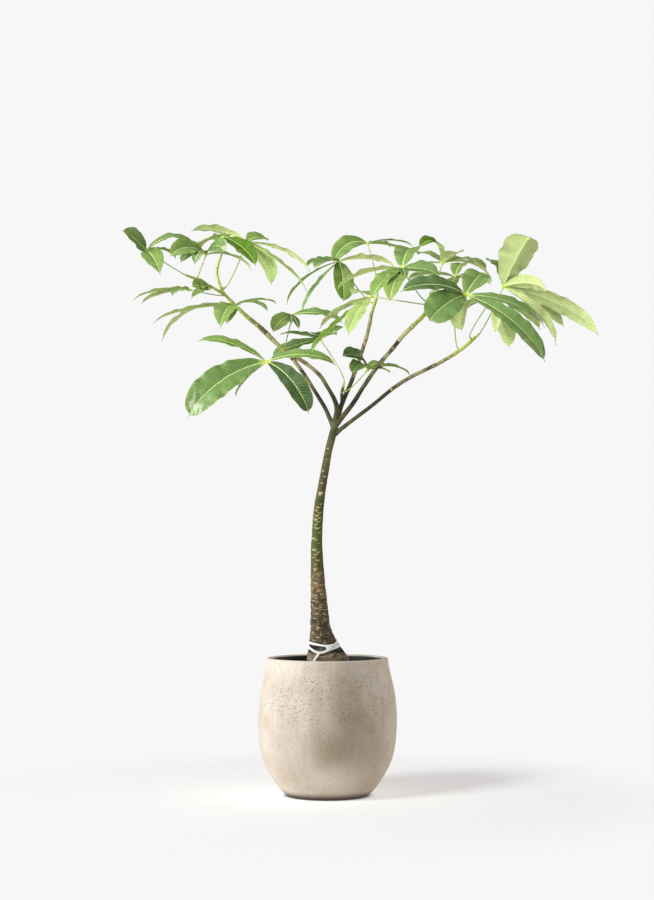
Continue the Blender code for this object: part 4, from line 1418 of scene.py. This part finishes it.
def upperColour(tree, mottle, tone, share, vein, rib):
    # the colour of the leaflet's tone, partly its own colour and partly painted light and shade,
    # with veins, a painted glossy highlight near some tips and the rib
    look = bladeColours
    colour = mixColours(tree, mottle, *look["deepest"])
    for start, end, *pair in look["shadeAndTones"]:
        colour = tint(tree, colour, easeNode(tree, tone, start, end),
                      mixColours(tree, mottle, *pair))
    colour = tint(tree, colour, vein, look["vein"], 0.3)
    # painted highlight: a whitish gloss towards some tips
    paintedTipGloss = calc(tree, "MULTIPLY", easeNode(tree, share, 0.66, 0.86),
                 patches(tree, placeNode(tree, (1, 1, 0.4)), 95, 0.46, 0.66, 2.0))
    paintedTipGloss = calc(tree, "MULTIPLY", paintedTipGloss, easeNode(tree, tone, 0.0, 0.1))
    paintedTipGloss = calc(tree, "MULTIPLY", paintedTipGloss, easeNode(tree, tone, 0.12, 0.3, 0.6, 0.0))
    colour = tint(tree, colour, paintedTipGloss, look["paintedTipGloss"])
    return tint(tree, colour, rib, look["rib"])


def lowerColour(tree, mottle, tone, vein, rib):
    # the pale underside, drawn by the tone to a darker copy of it that is painted shade
    look = bladeColours
    pale = mixColours(tree, mottle, *look["lowerPale"])
    shadedUnderside = mixColours(tree, mottle, *look["lowerPaintedShade"])
    colour = mixColours(tree, easeNode(tree, tone, 0.0, 1.0), shadedUnderside, pale)
    colour = tint(tree, colour, vein, look["lowerVein"], 0.55)
    return tint(tree, colour, rib, look["lowerRib"])


def bladeFinish():
    # the side veins run where a sine of the way along, less a slope sideways, is nought
    made, tree, shader = newMaterial("leafBlade", Specular_IOR_Level=0.22)
    look = bladeColours
    across, along, share, under, tone, edge = (
        fieldNode(tree, name) for name in ("across", "along", "share", "under", "tone", "edge"))
    place = placeNode(tree)
    aside = calc(tree, "ABSOLUTE", across)
    steps = calc(tree, "SUBTRACT", along, calc(tree, "MULTIPLY", aside, blade["veinSlope"]))
    phase = calc(tree, "MULTIPLY", steps, math.pi / blade["veinSpacing"])
    between = calc(tree, "ABSOLUTE", calc(tree, "SINE", phase))
    vein = easeNode(tree, between, 0.0, 0.35, 1.0, 0.0)
    ribHalf = easeNode(tree, share, 0.0, 1.0, 1.1, 0.45)
    rib = easeNode(tree, calc(tree, "DIVIDE", aside, ribHalf), 0.6, 1.15, 1.0, 0.0)
    mottle = patches(tree, place, 45, 0.3, 0.7)
    fine = patches(tree, place, 700, 0.3, 0.7, 2.0)
    colour = mixColours(tree, under, upperColour(tree, mottle, tone, share, vein, rib),
                        lowerColour(tree, mottle, tone, vein, rib))
    colour = tint(tree, colour, fine, look["fine"], 0.12)
    # painted highlight: a lighter margin along the edge
    colour = tint(tree, colour, easeNode(tree, edge, 0.94, 1.0), look["rim"], 0.5)
    colour = tint(tree, colour, easeNode(tree, share, 0.03, 0.10, 1.0, 0.0), look["foot"])
    colour = tint(tree, colour, easeNode(tree, share, 0.955, 0.985, 0.0, 0.9), look["burnt"])
    # glossier above than below
    rough = mixColours(tree, under, (0.36, 0.36, 0.36), (0.62, 0.62, 0.62))
    rough = calc(tree, "ADD", rough, calc(tree, "MULTIPLY", mottle, 0.14))
    tree.links.new(rough, shader.inputs["Roughness"])
    # the veins are sunk above and stand out below
    relief = calc(tree, "MULTIPLY", vein, easeNode(tree, under, 0.0, 1.0, -1.0, 1.0))
    relief = calc(tree, "ADD", relief, calc(tree, "MULTIPLY", fine, 0.25))
    dress(tree, shader, colour, relief, 0.5, 0.0006)
    return made


stalkColours = {
    "old": ((0.22, 0.25, 0.12), (0.10, 0.11, 0.05)),
    "fresh": ((0.46, 0.60, 0.09), (0.34, 0.46, 0.07)),
}


def stalkFinish():
    made, tree, shader = newMaterial("leafStalk", Roughness=0.5)
    mottle = patches(tree, placeNode(tree), 160, 0.35, 0.7)
    colour = tint(tree, mixColours(tree, mottle, *stalkColours["old"]), fieldNode(tree, "young"),
                  mixColours(tree, mottle, *stalkColours["fresh"]))
    dress(tree, shader, colour, mottle, 0.3, 0.0004)
    return made


def makeLeaves():
    finishes = [bladeFinish(), stalkFinish()]
    rng = np.random.default_rng(blade["seed"])
    for name, (onBranch, share, hub, facing, leaflets) in leaves.items():
        hub, facing = np.asarray(hub, float), np.asarray(facing, float)
        parts = [stalkPart(onBranch, share, hub), knobPart(hub, facing)]
        parts += [leafletPart(hub, facing, leaflet, rng) for leaflet in leaflets]
        makePiece("money_tree_" + name, parts, finishes, name, 60)


makeLeaves()
print("leaves made")


# Floor, world and lights

studio = {
    "white": 0.93,  # how bright the floor and the backdrop look
    "worldLight": 0.10,
    "floorSize": 9,  # metres
    "floorBounce": (0.80, 0.74, 0.66),  # the floor's colour to the light that it throws back
    "floorGlow": (0.46, 0.43, 0.39),  # what it would throw back of the lights that leave it out
    "floorShade": (0.90, 1.0, 1.0),  # the part of its look that takes shadows
    "floorLift": (0.550, 0.515, 0.522),  # and the part that doesn't
    "floorDrop": 0.0004,  # the pot stands just clear of it, so that the two don't flicker
    "fade": (0.45, 0.85),  # how far out it fades into the backdrop
    "paintedContactShadow": (0.080, 0.098),  # where a painted contact shadow darkens it under the pot's edge
    "paintedContactShadowLeast": 0.12,
    "target": (0, 0, 0.5),
    "spotTarget": (0, 0, 1.04),
    "spotSize": 0.45,
    "spotBlend": 0.5,
}
# turn from the camera's side towards the left, lift above the floor, distance in metres,
# size of the panel, power in watts and colour
lights = {
    "keyPanel": (50, 33, 7.0, (2.0, 2.0), 235, (1.0, 0.98, 0.95)),
    "leftPanel": (84, 9, 7.0, (5.4, 2.2), 550, (0.97, 0.985, 1.0)),
    "rightPanel": (-112, 14, 7.0, (2.4, 3.2), 260, (1.0, 0.94, 0.87)),
    "topPanel": (0, 87, 6.0, (3.2, 3.2), 140, (1.0, 1.0, 1.0)),
}
# two spots on the crown, which pass over the pot and the floor: the same, with the cone's
# width in degrees in place of the panel's size
spots = {
    "crownKey": (42, 12, 5.0, 15, 920, (1.0, 0.99, 0.94)),
    "crownFill": (-22, -4, 5.0, 15, 520, (1.0, 1.0, 0.95)),
}
# the lights whose shadows on the floor aren't in the photo
offTheFloor = ("leftPanel", "rightPanel", "topPanel")


def makeFloor():
    half = studio["floorSize"] / 2
    mesh = bpy.data.meshes.new("studioFloor")
    corners = [(-half, -half, 0), (half, -half, 0), (half, half, 0), (-half, half, 0)]
    mesh.from_pydata(corners, [], [(0, 1, 2, 3)])
    made = bpy.data.materials.new("studioFloor")
    made.use_nodes = True
    tree = made.node_tree
    tree.nodes.clear()
    place = addNode(tree, "TexCoord").outputs["Object"]
    reach = addNode(tree, "VectorMath", {0: place}, operation="LENGTH").outputs["Value"]
    seen = addNode(tree, "LightPath").outputs["Is Camera Ray"]
    fade = calc(tree, "MULTIPLY", seen, easeNode(tree, reach, *studio["fade"]))
    bounce = addNode(tree, "BsdfDiffuse", {"Color": studio["floorBounce"]})
    glow = addNode(tree, "Emission", {"Color": studio["floorGlow"], "Strength": 1.0})
    thrown = addNode(tree, "AddShader", {0: bounce.outputs[0], 1: glow.outputs[0]})
    # painted contact shadow on the floor round the pot's base
    paintedContactShadow = easeNode(tree, reach, *studio["paintedContactShadow"], studio["paintedContactShadowLeast"], 1.0)
    shade = addNode(tree, "BsdfDiffuse", {
        "Color": mixColours(tree, paintedContactShadow, (0, 0, 0), studio["floorShade"])})
    lift = addNode(tree, "Emission", {"Color": studio["floorLift"], "Strength": paintedContactShadow})
    look = addNode(tree, "AddShader", {0: shade.outputs[0], 1: lift.outputs[0]})
    both = addNode(tree, "MixShader", {0: seen, 1: thrown.outputs[0], 2: look.outputs[0]})
    clear = addNode(tree, "BsdfTransparent")
    mixed = addNode(tree, "MixShader", {0: fade, 1: both.outputs[0], 2: clear.outputs[0]})
    result = addNode(tree, "OutputMaterial")
    tree.links.new(mixed.outputs[0], result.inputs["Surface"])
    mesh.materials.append(made)
    floor = addObject("studioFloor", mesh)
    floor.location.z = -studio["floorDrop"]
    return floor


def makeWorld():
    world = bpy.data.worlds.new("studioWorld")
    world.use_nodes = True
    tree = world.node_tree
    tree.nodes.clear()
    seen = addNode(tree, "LightPath").outputs["Is Camera Ray"]
    light = addNode(tree, "Background", {"Color": (1, 1, 1), "Strength": studio["worldLight"]})
    shown = addNode(tree, "Background", {"Color": (1, 1, 1), "Strength": studio["white"]})
    mixed = addNode(tree, "MixShader", {0: seen, 1: light.outputs[0], 2: shown.outputs[0]})
    result = addNode(tree, "OutputWorld")
    tree.links.new(mixed.outputs[0], result.inputs["Surface"])
    bpy.context.scene.world = world


def placeLight(name, kind, target, turn, lift, distance, power, colour):
    data = bpy.data.lights.new(name, kind)
    data.energy = power
    data.color = colour
    made = addObject(name, data)
    made.visible_camera = False
    turn, lift = math.radians(turn), math.radians(lift)
    away = np.array((-math.sin(turn) * math.cos(lift), -math.cos(turn) * math.cos(lift),
                     math.sin(lift)))
    made.location = target + away * distance
    made.rotation_euler = (math.pi / 2 - lift, 0, -turn)
    return data


def leaveOut(name, piece):
    # this light doesn't reach this piece
    out = bpy.data.collections.new(name + "LeavesOut")
    out.objects.link(piece)
    bpy.data.objects[name].light_linking.receiver_collection = out
    out.collection_objects[0].light_linking.link_state = "EXCLUDE"


def makeLights():
    for name, (turn, lift, distance, size, power, colour) in lights.items():
        data = placeLight(name, "AREA", studio["target"], turn, lift, distance, power, colour)
        data.shape = "RECTANGLE"
        data.size, data.size_y = size
    for name, (turn, lift, distance, cone, power, colour) in spots.items():
        data = placeLight(name, "SPOT", studio["spotTarget"], turn, lift, distance, power, colour)
        data.spot_size = math.radians(cone)
        data.spot_blend = studio["spotBlend"]
        data.shadow_soft_size = studio["spotSize"]


floor = makeFloor()
makeWorld()
makeLights()
for name in offTheFloor:
    leaveOut(name, floor)
bpy.context.scene.view_settings.view_transform = "Standard"
print("studio made")
